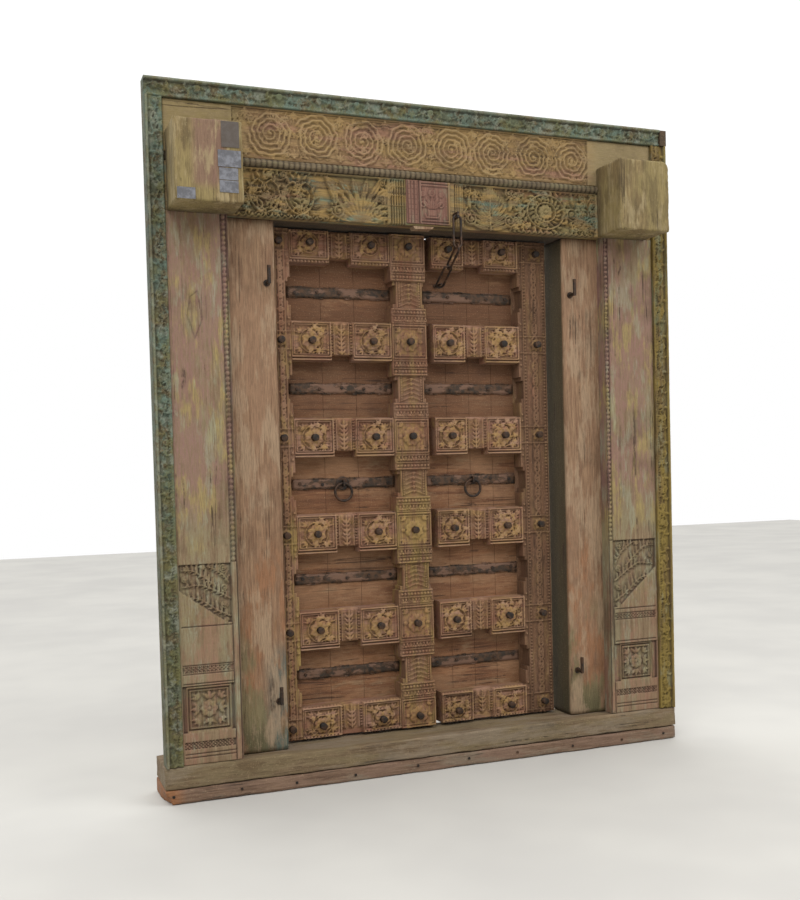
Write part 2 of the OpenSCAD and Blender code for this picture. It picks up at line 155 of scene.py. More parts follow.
def rib(panel, path, width, end=None, top=1.0):    # raised round line along a path
    path = np.asarray(path, float)
    end = width if end is None else end
    for k in range(len(path) - 1):
        a, b = path[k], path[k + 1]
        w = (width + (end - width) * (k + 0.5) / (len(path) - 1)) / 2
        where, X, Z = window(panel, min(a[0], b[0]) - w, max(a[0], b[0]) + w,
                             min(a[1], b[1]) - w, max(a[1], b[1]) + w)
        if not X.size:
            continue
        run = b - a
        t = np.clip(((X - a[0]) * run[0] + (Z - a[1]) * run[1]) / max(run @ run, 1e-9), 0, 1)
        d = np.hypot(X - a[0] - t * run[0], Z - a[1] - t * run[1])
        panel["h"][where] = np.maximum(panel["h"][where], top * hump(d / w))


def leaf(panel, x, z, angle, length, width, top=1.0, bend=0.0, vein=0.35):
    where, X, Z = window(panel, x - length - 2, x + length + 2, z - length - 2, z + length + 2)
    if not X.size:
        return
    c, s = math.cos(math.radians(angle)), math.sin(math.radians(angle))
    t = ((X - x) * c + (Z - z) * s) / length
    side = -(X - x) * s + (Z - z) * c - bend * length * np.clip(t, 0, 1) ** 2
    half = width / 2 * np.sin(math.pi * np.clip(t, 0.001, 1) ** 0.75) ** 0.8 + 1e-6
    body = hump(side / half) * (1 - vein * np.exp(-(side / (0.16 * width)) ** 2))
    body = np.where((t > 0) & (t < 1), body * top, 0)
    panel["h"][where] = np.maximum(panel["h"][where], body)


def button(panel, x, z, r, top=1.0, sharp=1.0):
    where, X, Z = window(panel, x - r, x + r, z - r, z + r)
    dome = top * hump(np.hypot(X - x, Z - z) / r) ** sharp
    panel["h"][where] = np.maximum(panel["h"][where], dome)


def level(panel, x0, x1, z0, z1, top, soft=1.5):   # flat raised field with eased edges
    where, X, Z = window(panel, x0, x1, z0, z1)
    edge = np.minimum(np.minimum(X - x0, x1 - X), np.minimum(Z - z0, z1 - Z))
    panel["h"][where] = np.maximum(panel["h"][where], top * smooth(0, soft, edge))


def groove(panel, x0, x1, z0, z1, bottom):
    where, X, Z = window(panel, x0, x1, z0, z1)
    panel["h"][where] = np.minimum(panel["h"][where], bottom)


def gild(panel, x0, x1, z0, z1, amount=1.0):       # where the carver's ochre was put on
    where, X, Z = window(panel, x0, x1, z0, z1)
    panel["gilt"][where] = np.maximum(panel["gilt"][where], amount)


def spiral(x, z, inner, outer, turns, start, way=1, count=60):
    t = np.linspace(0, 1, count)
    a = math.radians(start) + way * t * turns * 2 * math.pi
    r = inner + (outer - inner) * t
    return np.column_stack([x + r * np.cos(a), z + r * np.sin(a)])


def arc(x, z, r, start, stop, count=24):
    a = np.radians(np.linspace(start, stop, count))
    return np.column_stack([x + r * np.cos(a), z + r * np.sin(a)])


def plume(panel, path, width, blades, way=1):    # a sweeping leaf of grooved blades off one stem
    path = np.asarray(path, float)
    t = np.linspace(0, 1, 40)
    marks = np.linspace(0, 1, len(path))
    line = np.column_stack([np.interp(t, marks, path[:, 0]), np.interp(t, marks, path[:, 1])])
    for _ in range(6):
        line[1:-1] = (line[:-2] + line[1:-1] + line[2:]) / 3
    rib(panel, line, 6, 4)
    run = np.gradient(line, axis=0)
    for k in range(blades):
        q = 2 + int((k + 0.5) / blades * 34)
        a = math.degrees(math.atan2(run[q, 1], run[q, 0]))
        size = width * math.sin(math.pi * (0.2 + 0.75 * k / blades))
        leaf(panel, *line[q], a + way * 38, size, 9.5, bend=0.35 * way, vein=0.6)
        leaf(panel, *line[q], a - way * 30, size * 0.45, 7, bend=-0.3 * way, vein=0.5)


def rosette(panel, x, z, r, petals, top=1.0, turn=0.0, heart=0.26):
    for k in range(petals):
        a = turn + 360 * k / petals
        c, s = math.cos(math.radians(a)), math.sin(math.radians(a))
        leaf(panel, x + heart * r * c, z + heart * r * s, a, r * (1 - heart),
             2.3 * r * math.sin(math.pi / petals), top)
    button(panel, x, z, heart * r * 1.1, top)


def curls(panel, x0, x1, z0, z1, pitch, seed, clear=0.35):
    # dense scrollwork: small coils on a shaken grid with leaves springing off them
    rng = np.random.default_rng(seed)
    way = 1
    for i, x in enumerate(np.arange(x0 + pitch / 2, x1, pitch)):
        for j, z in enumerate(np.arange(z0 + pitch * (0.5 if i % 2 else 0.9), z1, pitch)):
            where, X, Z = window(panel, x - 1, x + 1, z - 1, z + 1)
            if not X.size or panel["h"][where].mean() > clear:
                continue
            way = -way
            cx, cz = x + rng.uniform(-3, 3), z + rng.uniform(-3, 3)
            turn, r = rng.uniform(0, 360), pitch * rng.uniform(0.4, 0.5)
            rib(panel, spiral(cx, cz, 2.5, r, 1.6, turn, way, 34), 4, 6)
            button(panel, cx, cz, 4)
            for a in np.arange(turn, turn + 360, 72):
                t = math.radians(a)
                leaf(panel, cx + r * math.cos(t), cz + r * math.sin(t), a + 50 * way, pitch * 0.62, pitch * 0.3,
                     top=0.92, bend=0.35 * way)


def blurred(h, size):
    for axis in (0, 1):
        pad = np.repeat(np.take(h, [0], axis), size, axis)
        end = np.repeat(np.take(h, [-1], axis), size, axis)
        total = np.cumsum(np.concatenate([pad, h, end], axis), axis)
        n = h.shape[axis]
        first, last = np.arange(n), np.arange(n) + 2 * size
        h = (np.take(total, last, axis) - np.take(total, first, axis)) / (2 * size)
    return h


def panelMesh(name, panel, face, back, depth, keep=None, sink=None, wear=0.5, seed=1):
    xs, zs, h = panel["xs"], panel["zs"], panel["h"]
    X, Z = np.meshgrid(xs, zs, indexing="ij")
    uneven = wobble(X, 0 * X, Z, 90, seed) + 0.5 * wobble(X, 0 * X, Z, 17, seed + 1)
    y = face + (1 - h) * depth + wear * np.clip(0.6 + uneven, 0, 2)
    y = y + (0 if sink is None else sink)
    y = np.minimum(y, back - 2)
    keep = np.ones((len(xs) - 1, len(zs) - 1), bool) if keep is None else keep
    used = np.zeros(h.shape, bool)
    for di in (0, 1):
        for dj in (0, 1):
            used[di:used.shape[0] - 1 + di, dj:used.shape[1] - 1 + dj] |= keep
    index = np.full(h.shape, -1)
    index[used] = np.arange(used.sum())
    front = np.column_stack([X[used], y[used], Z[used]])
    i, j = np.nonzero(keep)
    a, b, c, d = index[i, j], index[i + 1, j], index[i + 1, j + 1], index[i, j + 1]
    quads = np.column_stack([a, b, c, d])
    around = np.pad(keep, 1)
    rims = []
    for start, stop, di, dj in ((a, b, 0, -1), (b, c, 1, 0), (c, d, 0, 1), (d, a, -1, 0)):
        free = ~around[i + 1 + di, j + 1 + dj]
        rims.append(np.column_stack([start[free], stop[free]]))
    rims = np.vstack(rims)
    follow = dict(rims.tolist())
    loop = [int(rims[0, 0])]
    while follow[loop[-1]] != loop[0]:
        loop.append(follow[loop[-1]])
    behind = {v: len(front) + k for k, v in enumerate(loop)}
    rear = front[loop].copy()
    rear[:, 1] = back
    walls = [(q, p, behind[p], behind[q]) for p, q in rims.tolist()]
    faces = quads.tolist() + walls + [[behind[v] for v in reversed(loop)]]
    # cavity is how far a point lies below its blurred surroundings; the finish darkens it as painted shade in the
    # hollows
    cavity = np.clip((blurred(h, 3) - h) * 1.8, 0, 1)[used]
    extra = np.zeros(len(loop))
    values = {"relief": np.append(h[used], extra + 0.5), "cavity": np.append(cavity, extra),
              "gilt": np.append(panel["gilt"][used], extra)}
    return newMesh(name, np.vstack([front, rear]), faces, [(len(quads), len(faces))], values)


# ---- plain worn timber, rounded and uneven within its box ----

def wornBox(low, high, cell, radius, wear, seed, size=120):
    low, high = np.asarray(low, float), np.asarray(high, float)
    grid = [steps(low[k], high[k], cell[k]) for k in range(3)]
    points, faces = {}, []

    def at(*corner):
        return points.setdefault(corner, len(points))
    for axis in range(3):
        u, v = (axis + 1) % 3, (axis + 2) % 3
        for side in (0, len(grid[axis]) - 1):
            for p in range(len(grid[u]) - 1):
                for q in range(len(grid[v]) - 1):
                    face = []
                    for dp, dq in ((0, 0), (1, 0), (1, 1), (0, 1)):
                        corner = [0, 0, 0]
                        corner[axis], corner[u], corner[v] = side, p + dp, q + dq
                        face.append(at(*corner))
                    faces.append(tuple(face if side else reversed(face)))
    corner = np.array(list(points))
    place = np.column_stack([grid[k][corner[:, k]] for k in range(3)])
    core = np.clip(place, low + radius, high - radius)
    away = place - core
    length = np.linalg.norm(away, axis=1, keepdims=True)
    place = core + away / np.maximum(length, 1e-9) * np.minimum(length, radius)
    middle = (low + high) / 2
    drop = wear * np.clip(0.7 + wobble(*place.T, size, seed) + 0.5 * wobble(*place.T, size / 5, seed + 3), 0, 2)
    out = np.sign(place - middle) * (np.abs(place - middle) > (high - low) / 2 - radius - 0.5)
    return place - out * drop[:, None], faces


def dome(x, face, z, r, out, sides=18, seed=0):     # hand-forged head on a face towards the viewer
    rng = np.random.default_rng(seed)
    section = [(1.0, 0.0), (1.0, 0.18), (0.93, 0.45), (0.74, 0.74), (0.45, 0.93), (0.2, 0.99)]
    a = np.arange(sides) * 2 * math.pi / sides
    rough = 1 - 0.06 * rng.random(sides)
    lean = rng.uniform(-0.06, 0.06, 2)
    points = [(x + r * rr * q * math.cos(t), face - out * oo * 0.97 + lean[0] * r * math.cos(t) * oo,
               z + r * rr * q * math.sin(t)) for rr, oo in section for t, q in zip(a, rough)]
    points.append((x, face - out, z))
    faces = [tuple(range(sides))]
    for k in range(len(section) - 1):
        for s in range(sides):
            n = (s + 1) % sides
            faces.append((k * sides + n, k * sides + s, (k + 1) * sides + s, (k + 1) * sides + n))
    top = (len(section) - 1) * sides
    faces += [(top + (s + 1) % sides, top + s, len(points) - 1) for s in range(sides)]
    return np.array(points), faces


# ---- finishes ----

def linear(colour):    # sRGB hex to linear values
    parts = [int(colour[k:k + 2], 16) / 255 for k in (1, 3, 5)]
    return [c / 12.92 if c <= 0.04045 else ((c + 0.055) / 1.055) ** 2.4 for c in parts] + [1]


def addNode(tree, kind, values=None, links=None, **settings):
    made = tree.nodes.new(kind)
    for key, value in settings.items():
        setattr(made, key, value)
    for key, value in (values or {}).items():
        made.inputs[key].default_value = value
    for key, socket in (links or {}).items():
        tree.links.new(socket, made.inputs[key])
    return made


def noise(tree, place, size, stretch=(1, 1, 1), detail=5, rough=0.6, shift=0.0):   # size in mm
    moved = addNode(tree, "ShaderNodeMapping", {
        "Scale": [s / (size * mm) for s in stretch],
        "Location": (shift, shift * 1.7, shift * 0.3)}, {"Vector": place})
    return addNode(tree, "ShaderNodeTexNoise", {"Scale": 1, "Detail": detail, "Roughness": rough},
                   {"Vector": moved.outputs[0]}).outputs["Fac"]


def remap(tree, value, low, high, first=0.0, last=1.0):
    return addNode(tree, "ShaderNodeMapRange", {
        "From Min": low, "From Max": high, "To Min": first, "To Max": last},
        {"Value": value}, interpolation_type="SMOOTHSTEP").outputs["Result"]


def maths(tree, operation, a, b):
    values, links = {}, {}
    for k, x in enumerate((a, b)):
        (values if isinstance(x, (int, float)) else links)[k] = x
    return addNode(tree, "ShaderNodeMath", values, links, operation=operation).outputs[0]


def mixed(tree, factor, first, second):     # colours as hex or sockets
    values, links = {}, {0: factor}
    for k, c in ((6, first), (7, second)):
        if isinstance(c, str):
            values[k] = linear(c)
        else:
            links[k] = c
    return addNode(tree, "ShaderNodeMix", values, links, data_type="RGBA").outputs[2]


def attribute(tree, name):
    return addNode(tree, "ShaderNodeAttribute", attribute_name=name).outputs["Fac"]


def newMaterial(name):
    material = bpy.data.materials.new(name)
    material.use_nodes = True
    tree = material.node_tree
    place = addNode(tree, "ShaderNodeTexCoord").outputs["Object"]
    return material, tree, tree.nodes["Principled BSDF"], place


stretches = {"x": (0.05, 1, 1), "z": (1, 1, 0.05), "none": (1, 1, 1)}


# Old timber under flaking coats. Each layer is colour, share covered, patch size in mm, strength
# and the stretches it keeps to: axis, where it starts to fade in, where it is full.
def agedWood(name, look):
    material, tree, shader, place = newMaterial(name)
    stretch = stretches[look["grain"]]
    fibre = noise(tree, place, look["fibre"], stretch, 6, 0.68, look["seed"])
    fine = noise(tree, place, 2.2, stretch, 4, 0.6, look["seed"] + 5)
    split = noise(tree, place, 38, [0.35 * s if s < 1 else s for s in stretch], 3, 0.5, look["seed"] + 9)
    apart = addNode(tree, "ShaderNodeSeparateXYZ", links={0: place}).outputs
    colour = mixed(tree, remap(tree, fibre, 0.33, 0.68), look["dark"], look["light"])
    for k, (paint, cover, size, strength, reach) in enumerate(look["layers"]):
        patch = noise(tree, place, size, [0.35 + 0.65 * s if s == 1 else 0.3 for s in stretch],
                      7, 0.66, look["seed"] + 2.3 * k)
        patch = maths(tree, "ADD", maths(tree, "MULTIPLY", patch, 0.8), maths(tree, "MULTIPLY", fibre, 0.2))
        edge = 0.5 + (0.5 - cover) * 0.34
        mask = maths(tree, "MULTIPLY", remap(tree, patch, edge - 0.045, edge + 0.045), strength)
        for axis, start, full in reach or ():
            at = apart["XYZ".index(axis)]
            limit = (remap(tree, at, start * mm, full * mm) if full > start
                     else remap(tree, at, full * mm, start * mm, 1.0, 0.0))
            mask = maths(tree, "MULTIPLY", mask, limit)
        colour = mixed(tree, mask, colour, paint)
    bare = maths(tree, "MULTIPLY", remap(tree, attribute(tree, "relief"), 0.62, 1.0),
                 remap(tree, fine, 0.38, 0.6, 0.0, look["rubbed"]))
    colour = mixed(tree, bare, colour, look["worn"])
    gilt = maths(tree, "MULTIPLY", attribute(tree, "gilt"),
                 remap(tree, noise(tree, place, 14, (1, 1, 1), 5, 0.7, look["seed"]), 0.42, 0.6, 0.05, 0.6))
    colour = mixed(tree, gilt, colour, look["gilt"])
    colour = mixed(tree, remap(tree, fine, 0.4, 0.66, 0.0, look["grainDepth"]), colour, look["grime"])
    speck = noise(tree, place, 4.5, (1, 1, 1), 4, 0.7, look["seed"] + 7)
    colour = mixed(tree, remap(tree, speck, 0.56, 0.68, 0.0, look["dust"]), colour, look["worn"])
    # painted shade: the carving's hollows take the grime colour through the cavity attribute, darkening them where
    # shade falls
    colour = mixed(tree, maths(tree, "MULTIPLY", attribute(tree, "cavity"), look["grimeDepth"]),
                   colour, look["grime"])
    darkening = noise(tree, place, 210, (1, 1, 1), 7, 0.7, look["seed"] + 3)
    colour = mixed(tree, remap(tree, darkening, 0.5, 0.75, 0.0, 0.42), colour, look["grime"])
    crack = maths(tree, "ABSOLUTE", maths(tree, "SUBTRACT", split, 0.5), 0.0)
    crack = remap(tree, crack, 0.002, 0.010, 1.0, 0.0)
    crack = maths(tree, "MULTIPLY", crack, remap(tree, darkening, 0.47, 0.56))
    colour = mixed(tree, maths(tree, "MULTIPLY", crack, 0.75), colour, look["grime"])
    pits = maths(tree, "ADD", maths(tree, "MULTIPLY", fibre, 0.7), maths(tree, "MULTIPLY", fine, 0.5))
    height = maths(tree, "SUBTRACT", pits, crack)
    bump = addNode(tree, "ShaderNodeBump", {"Strength": look["bump"], "Distance": 1.2 * mm}, {"Height": height})
    shader.inputs["Roughness"].default_value = look["rough"]
    tree.links.new(colour, shader.inputs["Base Color"])
    tree.links.new(bump.outputs["Normal"], shader.inputs["Normal"])
    return material


def forgedIron(name, look):
    material, tree, shader, place = newMaterial(name)
    rust = noise(tree, place, look["rustSize"], detail=7, rough=0.7)
    dust = noise(tree, place, look["paintSize"], (0.4, 1, 1), 6, 0.65, 4)
    colour = mixed(tree, remap(tree, rust, 0.4, 0.62), look["scale"], look["rust"])
    colour = mixed(tree, remap(tree, dust, look["paintEdge"], look["paintEdge"] + 0.07, 0.0, 0.75),
                   colour, look["paint"])
    hammered = noise(tree, place, 6, detail=3)
    bump = addNode(tree, "ShaderNodeBump", {"Strength": 0.7, "Distance": 1.0 * mm},
                   {"Height": maths(tree, "ADD", hammered, maths(tree, "MULTIPLY", rust, 0.6))})
    shader.inputs["Metallic"].default_value = look["metal"]
    shader.inputs["Roughness"].default_value = look["rough"]
    tree.links.new(colour, shader.inputs["Base Color"])
    tree.links.new(bump.outputs["Normal"], shader.inputs["Normal"])
    return material


def wood(name, **changes):
    look = {"grain": "z", "fibre": 7, "dark": "#6b5038", "light": "#a58767", "layers": [],
            "worn": "#b39a76", "rubbed": 0.45, "gilt": "#94713a", "grime": "#2c1f15",
            "grimeDepth": 0.85, "grainDepth": 0.3, "dust": 0.35, "bump": 0.8, "rough": 0.85, "seed": 1.0}
    look.update(changes)
    return agedWood(name, look)


# chalky ochre over tan, pink where the older coat shows
friezeUpper = wood("friezeUpperPaint", grain="x", dark="#735635", light="#987d55", seed=2.0, grime="#392816",
                   layers=[("#947848", 0.55, 60, 0.8, None), ("#8c6451", 0.36, 120, 0.75, None),
                           ("#7a6c43", 0.9, 80, 0.85, [("X", -600, -690)]),
                           ("#7a6d4a", 0.9, 90, 0.85, [("X", 590, 680)])],
                   worn="#a8946e", rubbed=0.5)
# olive-grey pierced carving with green-blue stains at the ends
friezeLower = wood("friezeLowerPaint", grain="x", dark="#58452a", light="#856f49", seed=3.0, grime="#21170d",
                   layers=[("#827449", 0.5, 50, 0.8, None), ("#587668", 0.33, 60, 0.75, None),
                           ("#5d7560", 0.45, 70, 0.6, [("X", 480, 640)]), ("#957842", 0.42, 34, 0.8, None),
                           ("#805642", 0.3, 70, 0.6, None)],
                   worn="#9d8862", rubbed=0.55, grimeDepth=0.8)
# faded pink limewash
plaquePaint = wood("plaquePaint", grain="z", dark="#684437", light="#846050", seed=4.0, grime="#331e16",
                   layers=[("#8d7342", 0.85, 30, 0.85, [("X", 60, 74)]), ("#81775f", 0.3, 20, 0.6, None)],
                   worn="#967867", rubbed=0.4)
# grey-brown weathered strip; the darkening under and between the beads is painted shade
ropePaint = wood("ropePaint", grain="x", dark="#50412b", light="#76674e", seed=5.0, grime="#22190e",
                 layers=[("#645e3f", 0.4, 40, 0.6, None)], worn="#86785f", rubbed=0.5)
# thin streaks of old mauve, ochre and grey over bare tan wood; the darker pink-brown towards the top is painted
# shadow under the beam end
pilasterPaint = wood("pilasterPaint", grain="z", fibre=8, dark="#644c38", light="#8f7a60", seed=6.0,
                     layers=[("#857f62", 0.5, 90, 0.7, None), ("#85605a", 0.66, 110, 0.8, [("Z", 820, 1000)]),
                             ("#8a6250", 0.5, 80, 0.7, [("Z", 700, 560)]),
                             ("#9a8850", 0.38, 60, 0.8, [("Z", 700, 900)]),
                             ("#8d9079", 0.34, 50, 0.6, None), ("#6e5040", 0.32, 70, 0.7, [("Z", 1560, 1780)])],
                     worn="#98835f", rubbed=0.5, gilt="#85754a", grime="#301e11", grimeDepth=1.0, grainDepth=0.4)
# teal and grey coat, half gone
borderTeal = wood("borderTealPaint", grain="none", fibre=9, dark="#4f422a", light="#756a4b", seed=7.0,
                  layers=[("#4f5c48", 0.56, 60, 0.7, None), ("#5f7468", 0.5, 50, 0.7, [("Z", 700, 1200)]),
                          ("#66603a", 0.42, 80, 0.7, [("Z", 1000, 600)]),
                          ("#67622f", 0.45, 60, 0.5, [("X", -960, -935)]),
                          ("#7f8272", 0.36, 40, 0.7, None)],
                  worn="#8f8c74", rubbed=0.6, grime="#262012")
# mustard coat that has gone olive
borderMustard = wood("borderMustardPaint", grain="z", fibre=9, dark="#544120", light="#7b6536", seed=8.0,
                     layers=[("#826e2f", 0.6, 80, 0.8, None), ("#5f6a50", 0.42, 70, 0.7, [("Z", 1100, 1700)]),
                             ("#817f63", 0.3, 40, 0.6, None)],
                     worn="#988349", rubbed=0.5, grime="#2d200d")
# chalky yellow-green distemper on the beam ends; the dark olive-brown over the back of their sides, top and
# underside, towards the lintel, is painted shade
blockPaint = wood("blockPaint", grain="z", fibre=10, dark="#6a5837", light="#907c53", seed=9.0,
                  layers=[("#8b7b4e", 0.6, 110, 0.8, None),
                          ("#7a5a50", 0.8, 70, 0.75, [("X", -850, -815), ("X", -715, -745), ("Z", 1890, 1930)]),
                          ("#54462a", 0.34, 70, 0.6, None), ("#a08f6a", 0.34, 40, 0.7, None),
                          ("#4c3f24", 0.75, 60, 0.7, [("Y", -60, -10)])],
                  worn="#9b8962", rubbed=0.3, grime="#3c2e18", bump=0.9, grainDepth=0.4)
# bare reddish tan timber, stained green near the leaves' feet; the near-black olive coat on the right jamb's inner
# face behind the leaf is painted shade
jambWood = wood("jambWood", grain="z", fibre=9, dark="#75563f", light="#9a7c5e", seed=10.0,
                layers=[("#8f6f55", 0.5, 140, 0.7, None), ("#8c5f3e", 0.45, 70, 0.7, [("Z", 900, 700)]),
                        ("#6c6a48", 0.5, 80, 0.7, [("Z", 600, 400)]), ("#4f4b30", 0.75, 50, 0.8, [("Z", 260, 150)]),
                        ("#46605c", 0.62, 45, 0.65, [("X", -630, -565), ("Z", 500, 400), ("X", 0, -10)]),
                        ("#9f876c", 0.4, 60, 0.7, None),
                        ("#3f3a22", 0.95, 200, 0.9, [("X", 620, 560), ("X", 520, 530), ("Y", 50, 62)])],
                worn="#a0886a", rubbed=0.3, grime="#3a2818", grainDepth=0.4)
# orange-brown boards, dusty, darkened from about 1050 mm upwards as painted shade towards the top of the recess
boardWood = wood("boardWood", grain="x", fibre=16, dark="#613d25", light="#8e6342", seed=11.0,
                 layers=[("#8b684a", 0.5, 90, 0.7, None), ("#765032", 0.4, 60, 0.7, None),
                         ("#8e7457", 0.25, 50, 0.6, None),
                         ("#5f3e26", 0.75, 90, 0.8, [("Z", 1050, 1350)])],
                 grime="#311d10")
# brown carved wood with pink dust on the field and old ochre in the flowers
carvedWood = wood("carvedLeafWood", grain="x", fibre=6, dark="#6d4a34", light="#9b7455", seed=12.0,
                  layers=[("#97735f", 0.5, 50, 0.75, None), ("#9b7a4a", 0.4, 36, 0.7, None),
                          ("#845744", 0.36, 60, 0.7, None)],
                  worn="#b3946f", rubbed=0.7, grime="#3b2413", gilt="#9d7c42", grainDepth=0.3)
carvedStile = wood("carvedStileWood", grain="z", fibre=6, dark="#674530", light="#947050", seed=13.0,
                   layers=[("#8f6c55", 0.45, 60, 0.75, None),
                           ("#988045", 0.5, 90, 0.8, [("Z", 1060, 900), ("X", 60, 0)]),
                           ("#957a48", 0.34, 40, 0.7, None), ("#7f523c", 0.36, 60, 0.7, None),
                           ("#5e412a", 0.8, 60, 0.75, [("X", 370, 400)])],
                   worn="#ab8a66", rubbed=0.7, grime="#362110", gilt="#9a7a42", grainDepth=0.3)
# dark unpainted timber of the hidden beam and the battens
darkWood = wood("darkBeamWood", grain="x", fibre=9, dark="#322416", light="#56412a", seed=14.0,
                layers=[("#433622", 0.5, 90, 0.7, None)], grime="#191109")
# trodden sill: grey-olive above, pink-brown below
sillUpper = wood("sillUpperWood", grain="x", fibre=9, dark="#604d35", light="#887358", seed=15.0,
                 layers=[("#746547", 0.5, 120, 0.7, None), ("#7f715f", 0.42, 160, 0.7, None),
                         ("#5e4a30", 0.35, 70, 0.7, [("X", -300, -700)])],
                 grime="#2e2316", bump=0.8)
sillLower = wood("sillLowerWood", grain="x", fibre=8, dark="#634a38", light="#886e59", seed=16.0,
                 layers=[("#7e6453", 0.5, 110, 0.7, None), ("#7e7361", 0.35, 90, 0.6, None),
                         ("#935f36", 0.8, 50, 0.8, [("X", -880, -935)])],
                 grime="#302116", bump=0.8)

# near-black forge scale with brown rust and crumbs of the leaf's paint
barIron = forgedIron("forgedIron", {"scale": "#2b2622", "rust": "#4f3828", "rustSize": 24, "paint": "#7c6650",
                                    "paintSize": 30, "paintEdge": 0.62, "metal": 0.55, "rough": 0.55})
# flat straps, mostly under worn tan paint
strapIron = forgedIron("strapIron", {"scale": "#33291f", "rust": "#553c28", "rustSize": 18, "paint": "#7a5c4a",
                                     "paintSize": 34, "paintEdge": 0.49, "metal": 0.3, "rough": 0.65})


def paperCard(name, look):    # faded grey card, rubbed and foxed
    material, tree, shader, place = newMaterial(name)
    stain = noise(tree, place, 26, detail=6, rough=0.7)
    fleck = noise(tree, place, 5, detail=4)
    colour = mixed(tree, remap(tree, stain, 0.42, 0.6), look["card"], look["faded"])
    colour = mixed(tree, remap(tree, fleck, 0.6, 0.68, 0.0, 0.6), colour, look["foxed"])
    apart = addNode(tree, "ShaderNodeSeparateXYZ", links={0: place}).outputs
    colour = mixed(tree, remap(tree, apart["Z"], 2.018, 2.03, 0.0, 0.8), colour, look["browned"])
    bump = addNode(tree, "ShaderNodeBump", {"Strength": 0.3, "Distance": 0.4 * mm}, {"Height": stain})
    shader.inputs["Roughness"].default_value = look["rough"]
    tree.links.new(colour, shader.inputs["Base Color"])
    tree.links.new(bump.outputs["Normal"], shader.inputs["Normal"])
    return material


cardPaper = paperCard("agedCard", {
    "card": "#56565a", "faded": "#73747a", "foxed": "#4e3f30", "browned": "#453726", "rough": 0.5,
})
print("finishes made")


# ---- carved boards of the frame ----

def cuts(marks, size):     # even steps that also pass through the marks
    runs = [steps(a, b, size)[:-1] for a, b in zip(marks[:-1], marks[1:])]
    return np.append(np.concatenate(runs), marks[-1])


upperFrieze = {
    "grid": 2.8, "depth": 9, "ground": 0.3,
    "coils": (-550, -393, -235, -72, 89, 245, 406, 560),   # millimetres along the board
    "coilZ": 84, "coilR": 74, "turns": 3.9,
}


def carveUpperFrieze(f):
    low, high = nodeBox("upper_frieze")
    panel = newPanel(steps(low[0], high[0], f["grid"]), steps(low[2], high[2], f["grid"]), f["ground"])
    left, right = nodeBox("left_block")[1][0], nodeBox("right_block")[0][0]
    z = low[2] + f["coilZ"]
    level(panel, low[0] - 1, left + 4, low[2] - 1, high[2] + 1, 1.0)
    level(panel, right - 34, high[0] + 1, low[2] - 1, high[2] + 1, 1.0)
    for k, x in enumerate(f["coils"]):
        way = 1 if k % 2 else -1
        r = f["coilR"]
        coil = spiral(x, z, 8, r, f["turns"], 150 + 35 * k, way, 220)
        out = coil - (x, z)
        around = np.arctan2(out[:, 1], out[:, 0])
        coil = (x, z) + out * (1 + 0.035 * np.sin(5 * around + k) + 0.03 * np.sin(11 * around))[:, None]
        rib(panel, coil, 7, 11)
        button(panel, x, z, 8)
        for a in range(0, 360, 30):     # lobes that break out of the last turns
            t = math.radians(a + 9 * k)
            for at, size in ((0.4 * r, 15), (0.64 * r, 21), (0.86 * r, 24), (r - 1, 25)):
                leaf(panel, x + at * math.cos(t + at), z + at * math.sin(t + at),
                     a + 9 * k + math.degrees(at) + 66 * way, size, 9, bend=0.32 * way, vein=0.6)
    middles = [(a + b) / 2 for a, b in zip(f["coils"][:-1], f["coils"][1:])]
    ends = [f["coils"][0] - 82, f["coils"][-1] + 80]
    for k, x in enumerate(middles + ends):
        for up in (1, -1):
            tip = z + up * 70
            for a in (-52, -26, 0, 26, 52):
                leaf(panel, x, tip, -up * 90 + a, 34 - abs(a) * 0.22, 9, top=0.95, bend=a / 260)
            button(panel, x, tip + up * 2, 6)
    curls(panel, left + 6, right - 36, low[2] + 10, high[2] - 10, 24, 22, 0.37)
    for z0, z1, top in ((0, 4, 1.0), (5.5, 9, 0.8), (159, 165, 1.0), (154, 157, 0.7)):
        level(panel, left, right - 30, low[2] + z0 - 0.1, low[2] + z1, top, 1.0)
    piece = panelMesh("upperFriezeCarving", panel, low[1], high[1], f["depth"], wear=0.6, seed=21)
    standIn(piece, "upper_frieze", friezeUpper)


lowerFrieze = {
    "grid": 2.8, "depth": 13,
    "medallions": (-574, -458), "fan": -246, "scrolls": (-325, -190), "stem": 232, "oval": 452,
}


